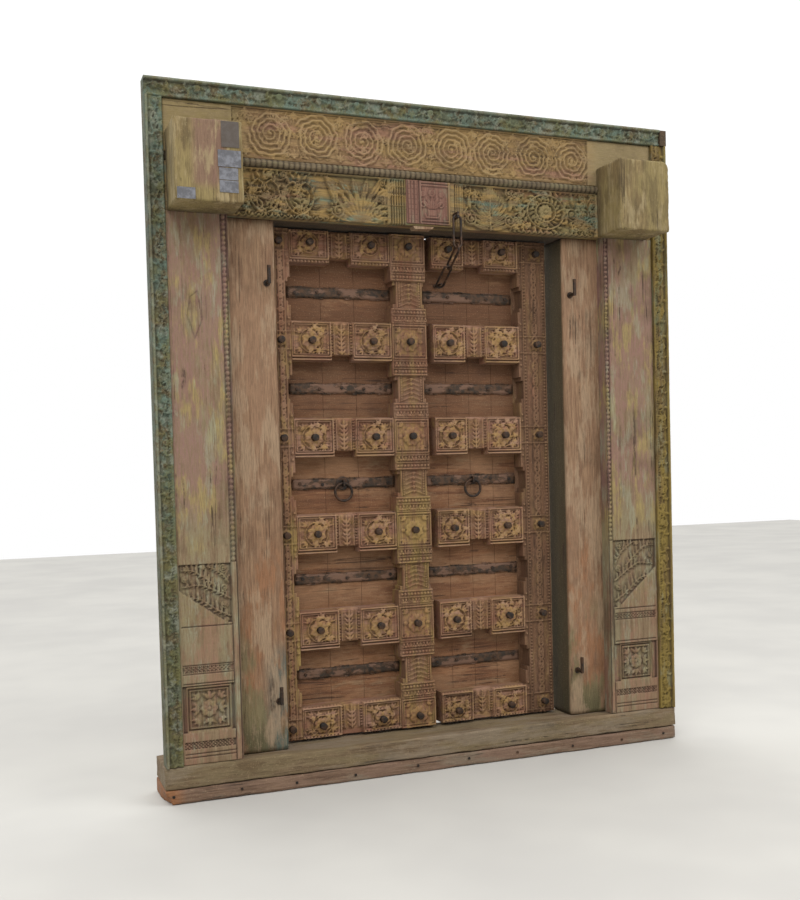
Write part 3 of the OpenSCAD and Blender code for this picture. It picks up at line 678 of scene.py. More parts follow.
def carveLowerFrieze(f):
    low, high = nodeBox("lower_frieze")
    panel = newPanel(steps(low[0], high[0], f["grid"]), steps(low[2], high[2], f["grid"]))
    left, right = nodeBox("left_block")[1][0], nodeBox("right_block")[0][0]
    level(panel, low[0] - 1, left + 3, low[2] - 1, high[2] + 1, 1.0)
    level(panel, right - 5, high[0] + 1, low[2] - 1, high[2] + 1, 1.0)
    foot = low[2]
    for x in f["medallions"]:    # shield scrolls filled with leaves
        for way in (-1, 1):
            side = [(x + way * q, foot + z) for q, z in
                    ((2, 12), (24, 22), (44, 45), (51, 75), (42, 103), (22, 119), (6, 108), (10, 92), (22, 90))]
            rib(panel, side, 7, 5)
            inner = [(x + way * q, foot + z) for q, z in
                     ((3, 26), (22, 38), (34, 58), (35, 80), (24, 96), (10, 84), (16, 72))]
            rib(panel, inner, 5, 4, top=0.85)
            for z, a, size in ((44, 28, 22), (62, 8, 20), (80, -20, 18), (34, 62, 18)):
                leaf(panel, x + way * 6, foot + z, a if way > 0 else 180 - a, size, 9, bend=0.2 * way)
            for z, a in ((20, -20), (40, 5), (64, 18), (90, 40), (112, 62)):
                leaf(panel, x + way * (34 + 14 * math.sin(z / 34)), foot + z, a if way > 0 else 180 - a,
                     26, 10, bend=0.3 * way)
            leaf(panel, x + way * 16, foot + 124, 75 if way > 0 else 105, 24, 11, bend=-0.3 * way)
        rosette(panel, x, foot + 66, 13, 8)
        leaf(panel, x, foot + 118, 90, 28, 13)
        leaf(panel, x, foot + 82, 90, 26, 11)
    curls(panel, left + 4, -338, foot + 12, high[2] - 8, 25, 32)
    for x in np.arange(left + 8, f["medallions"][1] + 110, 21.5):   # scalloped edges
        rib(panel, arc(x, foot + 9, 9, 180, 360, 12), 5)
        rib(panel, arc(x, foot + 146, 9, 0, 180, 12), 4.5, top=0.8)
        button(panel, x, foot + 9, 4)
    for k, a in enumerate(np.linspace(22, 158, 12)):      # long plantain leaves from one root
        reach = 132 if 50 < a < 130 else 118
        leaf(panel, f["fan"], foot - 8, a, reach, 25, top=0.95, bend=(a - 90) / 600, vein=0.5)
    for k, a in enumerate(np.linspace(36, 144, 6)):
        leaf(panel, f["fan"] + 70 * math.cos(math.radians(a)), foot + 88, a, 62, 24, bend=(a - 90) / 500, vein=0.5)
    for k, x in enumerate(f["scrolls"]):
        rib(panel, spiral(x, foot + 34, 5, 24, 1.7, 60, 1 if k else -1, 40), 6, 8)
        button(panel, x, foot + 34, 7)
        for a in range(0, 360, 45):
            leaf(panel, x + 25 * math.cos(math.radians(a)), foot + 34 + 25 * math.sin(math.radians(a)), a, 17, 9)
    for way, q in ((-1, -332), (1, -158)):      # tall curling leaves that frame the fan
        for k in range(4):
            leaf(panel, q, foot + 52 + 24 * k, 90 - way * (14 + 22 * k), 70 - 9 * k, 24, bend=0.35 * way, vein=0.5)
    curls(panel, -338, -150, foot + 6, high[2] - 6, 26, 34, 0.1)
    rib(panel, [(-148, foot), (-148, foot + 150)], 6)
    for x in np.arange(-142, -92, 9.2):                      # flutes beside the plaque
        rib(panel, [(x, foot + 4), (x, foot + 150)], 6.5)
    for z in (28, 62, 96, 128):
        level(panel, -146, -90, foot + z, foot + z + 3, 0.9, 0.8)
    level(panel, -91, 95, foot, high[2] + 1, 0.85)
    level(panel, 96, 131, foot + 3, high[2] - 3, 0.7)
    for x in (104, 113, 122):
        groove(panel, x, x + 2.5, foot + 8, high[2] - 8, 0.4)
    x = f["stem"]
    rib(panel, [(x, foot), (x - 2, foot + 60), (x + 1, foot + 118)], 9, 6)
    for k in range(11):
        for way in (-1, 1):
            a = 8 + k * 7.2
            leaf(panel, x + way * 3, foot + 4 + k * 10.5, a if way > 0 else 180 - a, 92 - 3.4 * k, 15,
                 top=0.95, bend=0.16 * way, vein=0.5)
    rosette(panel, x, foot + 126, 17, 8)
    for way, place in ((-1, 158), (1, 307)):
        rib(panel, spiral(place, foot + 38, 5, 22, 1.7, 90, way, 40), 6, 7)
        button(panel, place, foot + 38, 6)
        leaf(panel, place, foot + 70, 90 - way * 20, 56, 17, bend=0.3 * way)
    curls(panel, 134, 336, foot + 6, high[2] - 6, 26, 35, 0.1)
    x = f["oval"]
    ring = np.radians(np.arange(0, 361, 6))
    rib(panel, np.column_stack([x + 74 * np.cos(ring), foot + 78 + 60 * np.sin(ring)]), 7)
    rib(panel, np.column_stack([x + 40 * np.cos(ring), foot + 78 + 33 * np.sin(ring)]), 6)
    rosette(panel, x, foot + 78, 30, 10)
    for a in range(0, 360, 18):
        t = math.radians(a)
        leaf(panel, x + 44 * math.cos(t), foot + 78 + 36 * math.sin(t), a + 20, 26, 10, top=0.9, bend=0.25)
        leaf(panel, x + 78 * math.cos(t), foot + 78 + 63 * math.sin(t), a + 35, 24, 12, bend=0.3)
    for q in np.arange(352, right - 8, 21.5):
        rib(panel, arc(q, foot + 9, 9, 180, 360, 12), 5)
        rib(panel, arc(q, foot + 146, 9, 0, 180, 12), 4.5, top=0.8)
    curls(panel, 336, right - 2, foot + 12, high[2] - 8, 25, 33)
    for q in (560, 612):
        rib(panel, spiral(q, foot + 76, 6, 25, 1.8, 40, 1, 44), 5, 7)
        rosette(panel, q, foot + 76, 9, 6)
        for a in range(0, 360, 36):
            t = math.radians(a)
            leaf(panel, q + 25 * math.cos(t), foot + 76 + 28 * math.sin(t), a + 30, 27, 11, bend=0.3)
        for up in (1, -1):
            leaf(panel, q, foot + 76 + up * 44, up * 90, 26, 12)
    level(panel, left, right, high[2] - 4, high[2] + 1, 0.9, 1.0)
    piece = panelMesh("lowerFriezeCarving", panel, low[1], high[1], f["depth"], wear=0.8, seed=31)
    standIn(piece, "lower_frieze", friezeLower)


beadRow = {"pitch": 18.4, "step": 2.4, "around": 14, "waist": 0.74}


def beadMoulding(f):     # turned beads on their strip
    low, high = nodeBox("rope_moulding")
    x0, x1 = nodeBox("left_block")[1][0], nodeBox("right_block")[0][0]
    z, r = (low[2] + high[2]) / 2, -low[1]
    xs = steps(x0, x1, f["step"])
    phase = (xs - x0) / f["pitch"]
    off = np.abs(phase - np.floor(phase) - 0.5) * 2
    radius = r * (f["waist"] + (1 - f["waist"]) * np.sqrt(np.clip(1 - off ** 2.6, 0, 1)))
    radius = radius * (1 - 0.07 * np.clip(wobble(xs, xs * 0, xs * 0, 60, 41), -0.2, 1))
    a = np.linspace(0, math.pi, f["around"])
    points = [(x, -q * math.sin(t), z - q * math.cos(t)) for x, q in zip(xs, radius) for t in a]
    n = len(a)
    faces = [(i * n + j, (i + 1) * n + j, (i + 1) * n + j + 1, i * n + j + 1)
             for i in range(len(xs) - 1) for j in range(n - 1)]
    faces += [(i * n, i * n + n - 1, (i + 1) * n + n - 1, (i + 1) * n) for i in range(len(xs) - 1)]
    faces += [tuple(range(n)), tuple(reversed(range((len(xs) - 1) * n, len(xs) * n)))]
    strip = wornBox((low[0], 0.6, low[2]), high, (24, 12, 7), 1.5, 0.5, 42)
    points, faces = joinParts([(np.array(points, float), faces), strip])
    count = len(xs) * n
    # painted shade: the necks between the beads and the strip behind them get a cavity value, which darkens them in
    # the finish
    darkening = np.zeros(len(points))
    darkening[:count] = np.repeat(np.clip(off - 0.55, 0, 1) * 2, n)
    darkening[count:] = 0.75
    relief = np.zeros(len(points))
    relief[:count] = np.repeat(1 - 0.6 * off, n)
    piece = newMesh("beadMoulding", points, faces, values={"cavity": darkening, "relief": relief})
    standIn(piece, "rope_moulding", ropePaint)


plaque = {"grid": 2.0, "depth": 3.4}


def carvePlaque(f):      # lattice beside a plain potted-lotus motif
    low, high = nodeBox("centre_plaque")
    panel = newPanel(steps(low[0], high[0], f["grid"]), steps(low[2], high[2], f["grid"]))
    x, z = (low[0] + high[0]) / 2 + 14, low[2]
    level(panel, low[0] - 1, low[0] + 46, z, high[2] + 1, 0.85)
    for q in range(4):
        groove(panel, low[0] + 4 + q * 12, low[0] + 6.2 + q * 12, z + 3, high[2] - 3, 0.25)
    for q in range(8):
        groove(panel, low[0] + 3, low[0] + 44, z + 12 + q * 17, z + 14 + q * 17, 0.4)
    for q in (low[0] + 48, high[0] - 8):
        level(panel, q, q + 8, z, high[2] + 1, 1.0)
    for q in (0, 10, high[2] - z - 17, high[2] - z - 7):
        level(panel, low[0] + 48, high[0] + 1, z + q, z + q + 6, 1.0)
    rib(panel, [(x - 26, z + 34), (x - 22, z + 24), (x + 22, z + 24), (x + 26, z + 34)], 8)
    level(panel, x - 18, x + 18, z + 26, z + 52, 0.9, 5)
    for a in (30, 60, 90, 120, 150):
        leaf(panel, x, z + 54, a, 44, 15)
    for way in (-1, 1):
        rib(panel, spiral(x + way * 32, z + 66, 4, 13, 1.3, 90, way, 30), 4, 5)
        rosette(panel, x + way * 34, z + 102, 11, 6)
    rosette(panel, x, z + 106, 15, 8)
    piece = panelMesh("centrePlaqueCarving", panel, low[1], high[1], f["depth"], wear=0.3, seed=44)
    standIn(piece, "centre_plaque", plaquePaint)


vineBorder = {"step": 3.0, "pitch": 66, "outer": 11, "inner": 9}


def vineBand(node, name, along, outerHigh, material, f, seed):
    low, high = nodeBox(node)
    side = 2 - along                       # the axis across the moulding
    panel = newPanel(steps(low[0], high[0], f["step"]), steps(low[2], high[2], f["step"]))
    a0, a1, w = low[along], high[along], high[side] - low[side]

    def at(a, c):                          # c runs from the inner edge, 0, to the outer, w
        across = low[side] + c if outerHigh else high[side] - c
        return (across, a) if along == 2 else (a, across)

    def line(pairs, *rest, **more):
        rib(panel, [at(a, c) for a, c in pairs], *rest, **more)
    X, Z = np.meshgrid(panel["xs"], panel["zs"], indexing="ij")
    c = (X - low[0] if outerHigh else high[0] - X) if along == 2 else (Z - low[2] if outerHigh else high[2] - Z)
    outer, inner = f["outer"], f["inner"]
    panel["h"] = np.maximum(panel["h"], 1.0 * hump((c - w + outer / 2) / (outer / 2 + 0.8)))
    panel["h"] = np.maximum(panel["h"], 0.55 * hump((c - inner / 2) / (inner / 2 + 0.8)))
    middle, reach = (inner + w - outer) / 2, (w - outer - inner) / 2
    a = np.arange(a0, a1, 4.0)
    line(np.column_stack([a, middle + 0.55 * reach * np.sin((a - a0) * math.pi / f["pitch"])]), 5, top=0.62)
    for k, a in enumerate(np.arange(a0 + f["pitch"] / 2, a1 - 12, f["pitch"])):
        way = 1 if k % 2 else -1
        x, z = at(a, middle - way * 0.25 * reach)
        rosette(panel, x, z, 0.62 * reach, 6, top=0.66, turn=30 * k)
        for q in (-0.33, 0.33, 0.5):
            x, z = at(a + q * f["pitch"], middle + way * (0.5 if q != 0.5 else -0.2) * reach)
            turn = 90 if along == 2 else 0
            leaf(panel, x, z, turn + way * 38 + 180 * (q < 0), 20, 9, top=0.62, bend=0.3 * way)
            leaf(panel, x, z, turn - way * 42 + 180 * (q < 0), 15, 8, top=0.6)
    for a in np.arange(a0 + 6, a1 - 4, 9.5):       # small pearls along the inner bead
        x, z = at(a, inner + 2.5)
        button(panel, x, z, 3.6, top=0.6)
    (x0, z0), (x1, z1) = at(a0, inner + 1), at(a1, w - outer - 1)
    curls(panel, min(x0, x1), max(x0, x1), min(z0, z1), max(z0, z1), 21, seed, 0.06)
    band = (c > inner) & (c < w - outer)
    panel["h"] = np.where(band, np.minimum(panel["h"], 0.75), panel["h"])
    fall = 4.0 * smooth(w - outer, inner, c)
    piece = panelMesh(name, panel, low[1], high[1], 10, sink=fall, wear=0.7, seed=seed)
    standIn(piece, node, material)


pilasterCarving = {
    "across": 3.2, "fine": 2.8, "plain": 4.5, "depth": 7, "beads": (640, 1738), "beadPitch": 16.5,
    "left": {"beadX": 13, "scroll": (447, 637), "band": (292, 312), "panel": (101, 249), "lattice": (50, 70)},
    "right": {"beadX": 11, "scroll": (392, 640), "band": (350, 366), "panel": (115, 256), "lattice": (62, 84)},
}


def carvePilaster(node, name, side, f, seed):
    low, high = nodeBox(node)
    spec, foot, top = f[side], low[2], high[2]
    mirror = side == "right"
    zs = cuts([foot, foot + spec["scroll"][1] + 12, top], f["fine"])
    zs = np.concatenate([zs[zs < foot + spec["scroll"][1] + 12],
                         steps(foot + spec["scroll"][1] + 12, top, f["plain"])])
    panel = newPanel(steps(low[0], high[0], f["across"]), zs, 1.0)
    beadX = low[0] + spec["beadX"] if mirror else high[0] - spec["beadX"]
    away = -1 if not mirror else 1          # from the bead column towards the border
    for x in (beadX - 8.5, beadX + 8.5):
        groove(panel, x - 1.5, x + 1.5, foot + 2, top, 0.35)
    groove(panel, beadX - 8, beadX + 8, foot + f["beads"][0], top - 2, 0.25)
    for z in np.arange(foot + f["beads"][0] + 8, top - 6, f["beadPitch"]):
        button(panel, beadX, z, 7.2, sharp=0.8)
    inner, outer = (beadX + away * 12, low[0] + 8 if not mirror else high[0] - 8)
    x0, x1 = min(inner, outer), max(inner, outer)
    mid = (x0 + x1) / 2
    for z0, z1 in (spec["scroll"], spec["panel"]):
        where, X, Z = window(panel, x0 - 2, x1 + 2, foot + z0, foot + z1)
        panel["h"][where] = 0.0
    z0, z1 = (foot + q for q in spec["scroll"])
    h = z1 - z0
    def spot(u, v):        # u from the bead column to the border, v from the scroll's foot to its head
        return (inner + (outer - inner) * u, z0 + h * v)
    turn = 1 if mirror else -1
    for path, width, blades in (
            (((0.02, 0.1), (0.3, 0.22), (0.62, 0.42), (0.92, 0.46)), 44, 9),
            (((0.02, 0.4), (0.25, 0.52), (0.6, 0.66), (0.95, 0.62)), 42, 9),
            (((0.3, 0.62), (0.5, 0.76), (0.75, 0.9), (0.97, 0.9)), 38, 8),
            (((0.04, 0.66), (0.14, 0.8), (0.3, 0.9), (0.5, 0.97)), 35, 7)):
        plume(panel, [spot(u, v) for u, v in path], width, blades, turn)
    for u, v, r, way in ((0.1, 0.04, 9, 1), (0.12, 0.3, 12, -1), (0.12, 0.58, 12, 1), (0.93, 0.4, 9, -1),
                         (0.14, 0.92, 13, 1), (0.55, 0.95, 9, -1), (0.9, 0.76, 10, 1)):
        x, z = spot(u, v)
        where, X, Z = window(panel, x - r - 2, x + r + 2, z - r - 2, z + r + 2)
        panel["h"][where] = np.where(np.hypot(X - x, Z - z) < r + 1, 0.12, panel["h"][where])
        rib(panel, spiral(x, z, 2, r, 1.7, 40, way, 40), 4, 5.5)
        button(panel, x, z, 3.5)
    where, X, Z = window(panel, x0 - 2, x1 + 2, z0, z1)
    far = np.abs(X - inner) / (x1 - x0)
    panel["h"][where] = np.where((Z - z0) / h < 0.62 * far - 0.06, 1.0, panel["h"][where])
    gild(panel, x0, x1, z0, z1, 0.55)
    gild(panel, x0 + 8, x1 - 8, foot + spec["panel"][0], foot + spec["panel"][1], 0.8)
    b0, b1 = (foot + q for q in spec["band"])       # criss-cross strip
    groove(panel, x0, x1, b0, b1, 0.3)
    for x in np.arange(x0 + 4, x1 - b1 + b0, 13):
        rib(panel, [(x, b0 + 2), (x + b1 - b0, b1 - 2)], 4)
        rib(panel, [(x + b1 - b0, b0 + 2), (x, b1 - 2)], 4)
    for z in (b0 - 5, b1 + 3, foot + spec["scroll"][0] - 8, foot + spec["panel"][1] + 8):
        groove(panel, x0, x1, z, z + 2.4, 0.4)
    p0, p1 = (foot + q for q in spec["panel"])      # square with a four-part flower
    cz, half = (p0 + p1) / 2, min(p1 - p0, x1 - x0) / 2 - 4
    for inset in (0, 10):
        q = half - inset
        rib(panel, [(mid - q, cz - q), (mid + q, cz - q), (mid + q, cz + q), (mid - q, cz + q), (mid - q, cz - q)], 5)
    rosette(panel, mid, cz, 0.42 * half, 8)
    for a in range(0, 360, 90):
        t = math.radians(a + 45)
        x, z = mid + 0.66 * half * math.cos(t), cz + 0.66 * half * math.sin(t)
        for bend in (-40, 0, 40):
            leaf(panel, x, z, a + 45 + bend, 0.36 * half, 11)
        t = math.radians(a)
        x, z = mid + 0.46 * half * math.cos(t), cz + 0.46 * half * math.sin(t)
        for bend in (-50, 0, 50):
            leaf(panel, x, z, a + bend, 0.4 * half, 12)
    l0, l1 = (foot + q for q in spec["lattice"])    # pierced-looking lattice strip
    groove(panel, x0, x1, l0, l1, 0.2)
    for x in np.arange(x0 + 2, x1 - 9, 11):
        for z in (l0, (l0 + l1) / 2):
            q = (l1 - l0) / 2
            rib(panel, [(x + 5.5, z), (x + 11, z + q / 2), (x + 5.5, z + q), (x, z + q / 2), (x + 5.5, z)], 3.2)
    for z in (20, 32):
        groove(panel, x0, x1, foot + z, foot + z + 2.5, 0.45)
    faint = [(mid - 20, foot + 1480), (mid - 30, foot + 1420), (mid - 8, foot + 1350), (mid + 16, foot + 1410),
             (mid + 4, foot + 1500), (mid - 20, foot + 1480)]
    if not mirror:                                  # a shallow, never finished motif
        for k in range(len(faint) - 1):
            a, b = faint[k], faint[k + 1]
            for t in np.linspace(0, 1, 26):
                x, z = a[0] + (b[0] - a[0]) * t, a[1] + (b[1] - a[1]) * t
                where, X, Z = window(panel, x - 3, x + 3, z - 3, z + 3)
                cut = 0.72 + 0.28 * smooth(1.5, 3, np.hypot(X - x, Z - z))
                panel["h"][where] = np.minimum(panel["h"][where], cut)
    piece = panelMesh(name, panel, low[1], high[1], f["depth"], wear=0.7, seed=seed)
    standIn(piece, node, pilasterPaint)


carveUpperFrieze(upperFrieze)
carveLowerFrieze(lowerFrieze)
beadMoulding(beadRow)
carvePlaque(plaque)
vineBand("left_border", "leftBorderCarving", 2, False, borderTeal, vineBorder, 51)
vineBand("right_border", "rightBorderCarving", 2, True, borderMustard, vineBorder, 52)
vineBand("top_border", "topBorderCarving", 0, True, borderTeal, vineBorder, 53)
carvePilaster("left_pilaster", "leftPilasterCarving", "left", pilasterCarving, 61)
carvePilaster("right_pilaster", "rightPilasterCarving", "right", pilasterCarving, 62)
print("frame carved")


# ---- beam ends, jambs and sill ----

timber = {
    "block": {"cell": (7, 8, 7), "radius": 4, "wear": 1.1},
    "wornCorner": 34,
    "jamb": {"cell": (9, 9, 16), "radius": 4, "wear": 0.9},
    "sill": {"cell": (15, 9, 6), "radius": 5, "wear": 1.5},
    "brokenEnd": 34,      # how far the lower sill beam is broken away at its left end
}


def wornBlock(node, name, f, corner, seed):
    low, high = nodeBox(node)
    points, faces = wornBox(low, high, f["cell"], f["radius"], f["wear"], seed)
    if corner:
        middle = np.array([high[0] - corner, high[2] - corner])
        away = points[:, [0, 2]] - middle
        far = np.hypot(*np.maximum(away, 0).T)
        past = (away > 0).all(1) & (far > corner)
        points[past, 0] = (middle + away * (corner / np.maximum(far, 1e-9))[:, None])[past, 0]
        points[past, 2] = (middle + away * (corner / np.maximum(far, 1e-9))[:, None])[past, 1]
    standIn(newMesh(name, points, faces), node, blockPaint)


def wornJamb(node, name, f, seed):
    low, high = nodeBox(node)
    points, faces = wornBox(low, high, f["cell"], f["radius"], f["wear"], seed, 200)
    standIn(newMesh(name, points, faces), node, jambWood)


def wornSill(node, name, material, f, broken, seed):
    low, high = nodeBox(node)
    points, faces = wornBox(low, high, f["cell"], f["radius"], f["wear"], seed, 170)
    if broken:      # splintered left front corner
        x, y, z = points.T
        ragged = broken * (0.65 + 0.35 * wobble(x * 0, y, z, 26, seed + 7))
        pull = smooth(0, 1, 1 - (x - low[0]) / broken) * smooth(high[2] - 6, low[2] + 8, z)
        pull = pull * smooth(120, 10, y - low[1])
        points[:, 0] = x + pull * np.clip(ragged, 2, broken) * 0.75
    standIn(newMesh(name, points, faces), node, material)


wornBlock("left_block", "leftBeamEnd", timber["block"], 6, 71)
wornBlock("right_block", "rightBeamEnd", timber["block"], timber["wornCorner"], 72)
wornJamb("left_jamb", "leftJamb", timber["jamb"], 73)
wornJamb("right_jamb", "rightJamb", timber["jamb"], 74)
wornSill("sill_lower", "sillLowerBeam", sillLower, timber["sill"], timber["brokenEnd"], 75)
wornSill("sill_upper", "sillUpperBeam", sillUpper, timber["sill"], 0, 76)
print("beams made")


# ---- carved parts of the leaves ----

railCarving = {"grid": 2.7, "depth": 8.5, "cove": 7, "pearl": 12.5, "petals": 8}


def carveRail(node, blocks, row, f, seed):
    low, high = nodeBox(node)
    spacer = (blocks[0][1], blocks[1][0])
    notch = 22
    xs = cuts([low[0], spacer[0], spacer[1], high[0]], f["grid"])
    zs = cuts([low[2], low[2] + notch, high[2]], f["grid"])
    panel = newPanel(xs, zs, 0.0)
    for x0, x1 in blocks:
        bx = (x0 + x1) / 2
        z0, z1 = low[2], high[2]
        full = z1 - z0 > 120
        top, foot = (row + 64, row - 56)
        for inset, size in ((2.5, 5), (9.5, 3.4)):
            frameLine = [(x0 + inset, max(foot, z0) + inset), (x1 - inset, max(foot, z0) + inset),
                         (x1 - inset, min(top, z1) - inset), (x0 + inset, min(top, z1) - inset),
                         (x0 + inset, max(foot, z0) + inset)]
            rib(panel, frameLine, size)
        q = min(x1 - x0, min(top, z1) - max(foot, z0)) / 2 - 13
        cz = min(max(row, z0 + q + 13), z1 - q - 13)
        rosette(panel, bx, row, q * 0.74, f["petals"], turn=22)
        rib(panel, arc(bx, row, q * 0.86, 0, 360, 48), 4)
        gild(panel, bx - q, bx + q, row - q * 0.9, row + q * 0.9)
        for sx in (-1, 1):
            for sz in (-1, 1):
                x, z = bx + sx * (x1 - x0) * 0.31, cz + sz * q * 0.72
                a = math.degrees(math.atan2(sz, sx))
                for bend in (-38, 0, 38):
                    leaf(panel, x - sx * 7, z - sz * 7, a + bend, 22, 9, top=0.9)
        curls(panel, bx - q, bx + q, max(z0, row - q), min(z1, row + q), 17, seed + abs(int(x0)), 0.1)
        if row - low[2] < 50 or not full:
            for x in np.arange(x0 + 6, x1 - 3, f["pearl"]):
                button(panel, x, z0 + 5, 4.6)
                button(panel, x, z1 - 5, 4.2, top=0.9)
        if full:
            groove(panel, x0, x1, top - 1, high[2] + 1, 0.55)
            groove(panel, x0, x1, low[2] - 1, foot - 1, 0.45)
            level(panel, x0, x1, low[2] - 0.1, foot - 5, 0.95)
        for inset in (0, x1 - x0 - 1.2):
            level(panel, x0 + inset - 0.2, x0 + inset + 1.6, z0 - 1, z1 + 1, 1.0, 0.4)
    x0, x1 = spacer
    mid = (x0 + x1) / 2
    for x in (x0 + 14, x1 - 14):
        rib(panel, [(x, low[2] + notch), (x, high[2] - 8)], 5)
    rib(panel, [(mid, low[2] + notch), (mid, high[2] - 8)], 7)
    for z in np.arange(low[2] + notch + 4, high[2] - 24, 15):
        for way in (-1, 1):
            leaf(panel, mid + way * 2, z, 90 - way * 52, 20, 9, top=0.95, bend=0.2 * way)
    for z in np.arange(low[2] + notch + 6, high[2] - 8, 10):
        for x in (x0 + 6, x1 - 6):
            button(panel, x, z, 4, top=0.85)
    gild(panel, x0 + 16, x1 - 16, low[2] + notch, high[2] - 12, 0.35)
    X, Z = np.meshgrid(xs, zs, indexing="ij")
    between = (X > x0) & (X < x1)
    sink = 9 * smooth(0, 1.5, np.minimum(X - x0, x1 - X)) * between
    sink = sink + f["cove"] * (1 - smooth(0, 9, high[2] - Z)) ** 1.5
    middles = (xs[:-1] + xs[1:]) / 2
    keep = ~(((middles > x0) & (middles < x1))[:, None] & (((zs[:-1] + zs[1:]) / 2 < low[2] + notch))[None, :])
    if high[2] - low[2] < 120 and row - low[2] < 50:     # the foot rails close against the sill
        keep[:] = True
    name = node.replace("_rail_", "Rail") + "Carving"
    piece = panelMesh(name, panel, low[1], high[1], f["depth"], keep, sink, 0.7, seed)
    standIn(piece, node, carvedWood)


leafLayout = {
    "rows": [170 + 329 * k for k in range(6)],
    "left": ((-467, -328), (-247, -108)),
    "right": ((52, 173), (256, 390)),
    "wideHalf": 118, "small": 14,
}

for k, row in enumerate(leafLayout["rows"]):
    for side, seed in (("left", 100), ("right", 110)):
        carveRail("%s_rail_%d" % (side, k + 1), leafLayout[side], row, railCarving, seed + k)
print("rails carved")


stileCarving = {"grid": 2.9, "depth": 5.5}


def steppedMask(xs, zs, leftStep, rightStep, layout):   # which cells stay between the wide stretches
    mx, mz = (xs[:-1] + xs[1:]) / 2, (zs[:-1] + zs[1:]) / 2
    near = np.min([np.abs(mz - row) for row in layout["rows"]], axis=0)
    tier = np.where(near < layout["wideHalf"], 0, np.where(near < layout["wideHalf"] + layout["small"], 0.5, 1))
    return ((mx[:, None] > xs[0] + leftStep * tier[None, :]) & (mx[:, None] < xs[-1] - rightStep * tier[None, :]))


def stepMarks(low, high, layout):
    marks = [low, high]
    for row in layout["rows"]:
        for q in (layout["wideHalf"], layout["wideHalf"] + layout["small"]):
            marks += [z for z in (row - q, row + q) if low + 1 < z < high - 1]
    return sorted(marks)


def carveAstragal(f, layout):
    low, high = nodeBox("astragal")
    xs = cuts([low[0], low[0] + 10, low[0] + 20, high[0] - 10, high[0] - 5, high[0]], f["grid"])
    zs = cuts(stepMarks(low[2], high[2], layout), f["grid"])
    panel = newPanel(xs, zs, 0.0)
    mid = (low[0] + high[0]) / 2
    for row in layout["rows"]:
        z0, z1 = max(row - 60, low[2]), min(row + 60, high[2])
        x0, x1 = low[0], high[0]
        for inset, size in ((3, 6), (11, 3.5)):
            rib(panel, [(x0 + inset, z0 + inset), (x1 - inset, z0 + inset), (x1 - inset, z1 - inset),
                        (x0 + inset, z1 - inset), (x0 + inset, z0 + inset)], size)
        rosette(panel, mid, row, 36, 8, turn=22)
        gild(panel, mid - 46, mid + 46, row - 46, row + 46, 0.9)
        for sx in (-1, 1):
            leaf(panel, mid + sx * 34, row, 90 - sx * 90, 18, 13, top=0.9)
            for sz in (-1, 1):
                for bend in (-36, 0, 36):
                    leaf(panel, mid + sx * 34, row + sz * 34, math.degrees(math.atan2(sz, sx)) + bend, 20, 9, top=0.9)
        for way in (-1, 1):        # stepped bands above and below each flower square
            for k, (q, size) in enumerate(((66, 5), (92, 4), (114, 5))):
                z = row + way * q
                if low[2] + 3 < z < high[2] - 3:
                    rib(panel, [(x0 + 3, z), (x1 - 3, z)], size)
            for x in np.arange(x0 + 9, x1 - 6, 12.5):
                z = row + way * 78
                if low[2] + 8 < z < high[2] - 8:
                    rib(panel, [(x, z - 8), (x + 6, z + 8), (x + 12, z - 8)], 3.4)
                    button(panel, x + 6, z - 5, 3.4)
                z = row + way * 103
                if low[2] + 6 < z < high[2] - 6:
                    button(panel, x + 3, z, 5)
    for a, b in zip(layout["rows"][:-1], layout["rows"][1:]):
        z0, z1 = a + 121, b - 121
        for x in (low[0] + 25, high[0] - 15):
            rib(panel, [(x, z0), (x, z1)], 5)
        for z in np.arange(z0 + 6, z1 - 4, 16):
            rib(panel, [(mid - 26, z), (mid + 5, z + 12), (mid + 36, z)], 4)
            leaf(panel, mid + 5, z + 2, 90, 13, 9)
        for z in np.arange(z0 + 4, z1, 9):
            for x in (low[0] + 33, high[0] - 23):
                button(panel, x, z, 3.6)
    X, Z = np.meshgrid(xs, zs, indexing="ij")
    near = np.min([np.abs(zs - row) for row in layout["rows"]], axis=0)
    sink = np.broadcast_to(7.0 * smooth(layout["wideHalf"] - 1, layout["wideHalf"] + 1, near), X.shape)
    keep = steppedMask(xs, zs, 20, 10, layout)
    piece = panelMesh("astragalCarving", panel, low[1], high[1], f["depth"], keep, sink, 0.7, 121)
    standIn(piece, "astragal", carvedStile)


def stileBack(x0, x1, z0, z1, face, back, nose, outerLow):    # straight, with a rounded outer corner
    sign = 1 if outerLow else -1
    outer, inner = (x0, x1) if outerLow else (x1, x0)
    centre = (outer + sign * nose, back - nose)
    ring = [(outer, face), (inner, face), (inner, back)]
    ring += [(centre[0] - sign * nose * math.sin(t), centre[1] + nose * math.cos(t))
             for t in np.linspace(0, math.pi / 2, 12)]
    n = len(ring)
    if sign < 0:
        ring = ring[::-1]
    points = [(x, y, z) for z in (z0, z1) for x, y in ring]
    faces = [(k, (k + 1) % n, n + (k + 1) % n, n + k) for k in range(n)]
    faces += [tuple(reversed(range(n))), tuple(range(n, 2 * n))]
    return np.array(points, float), faces


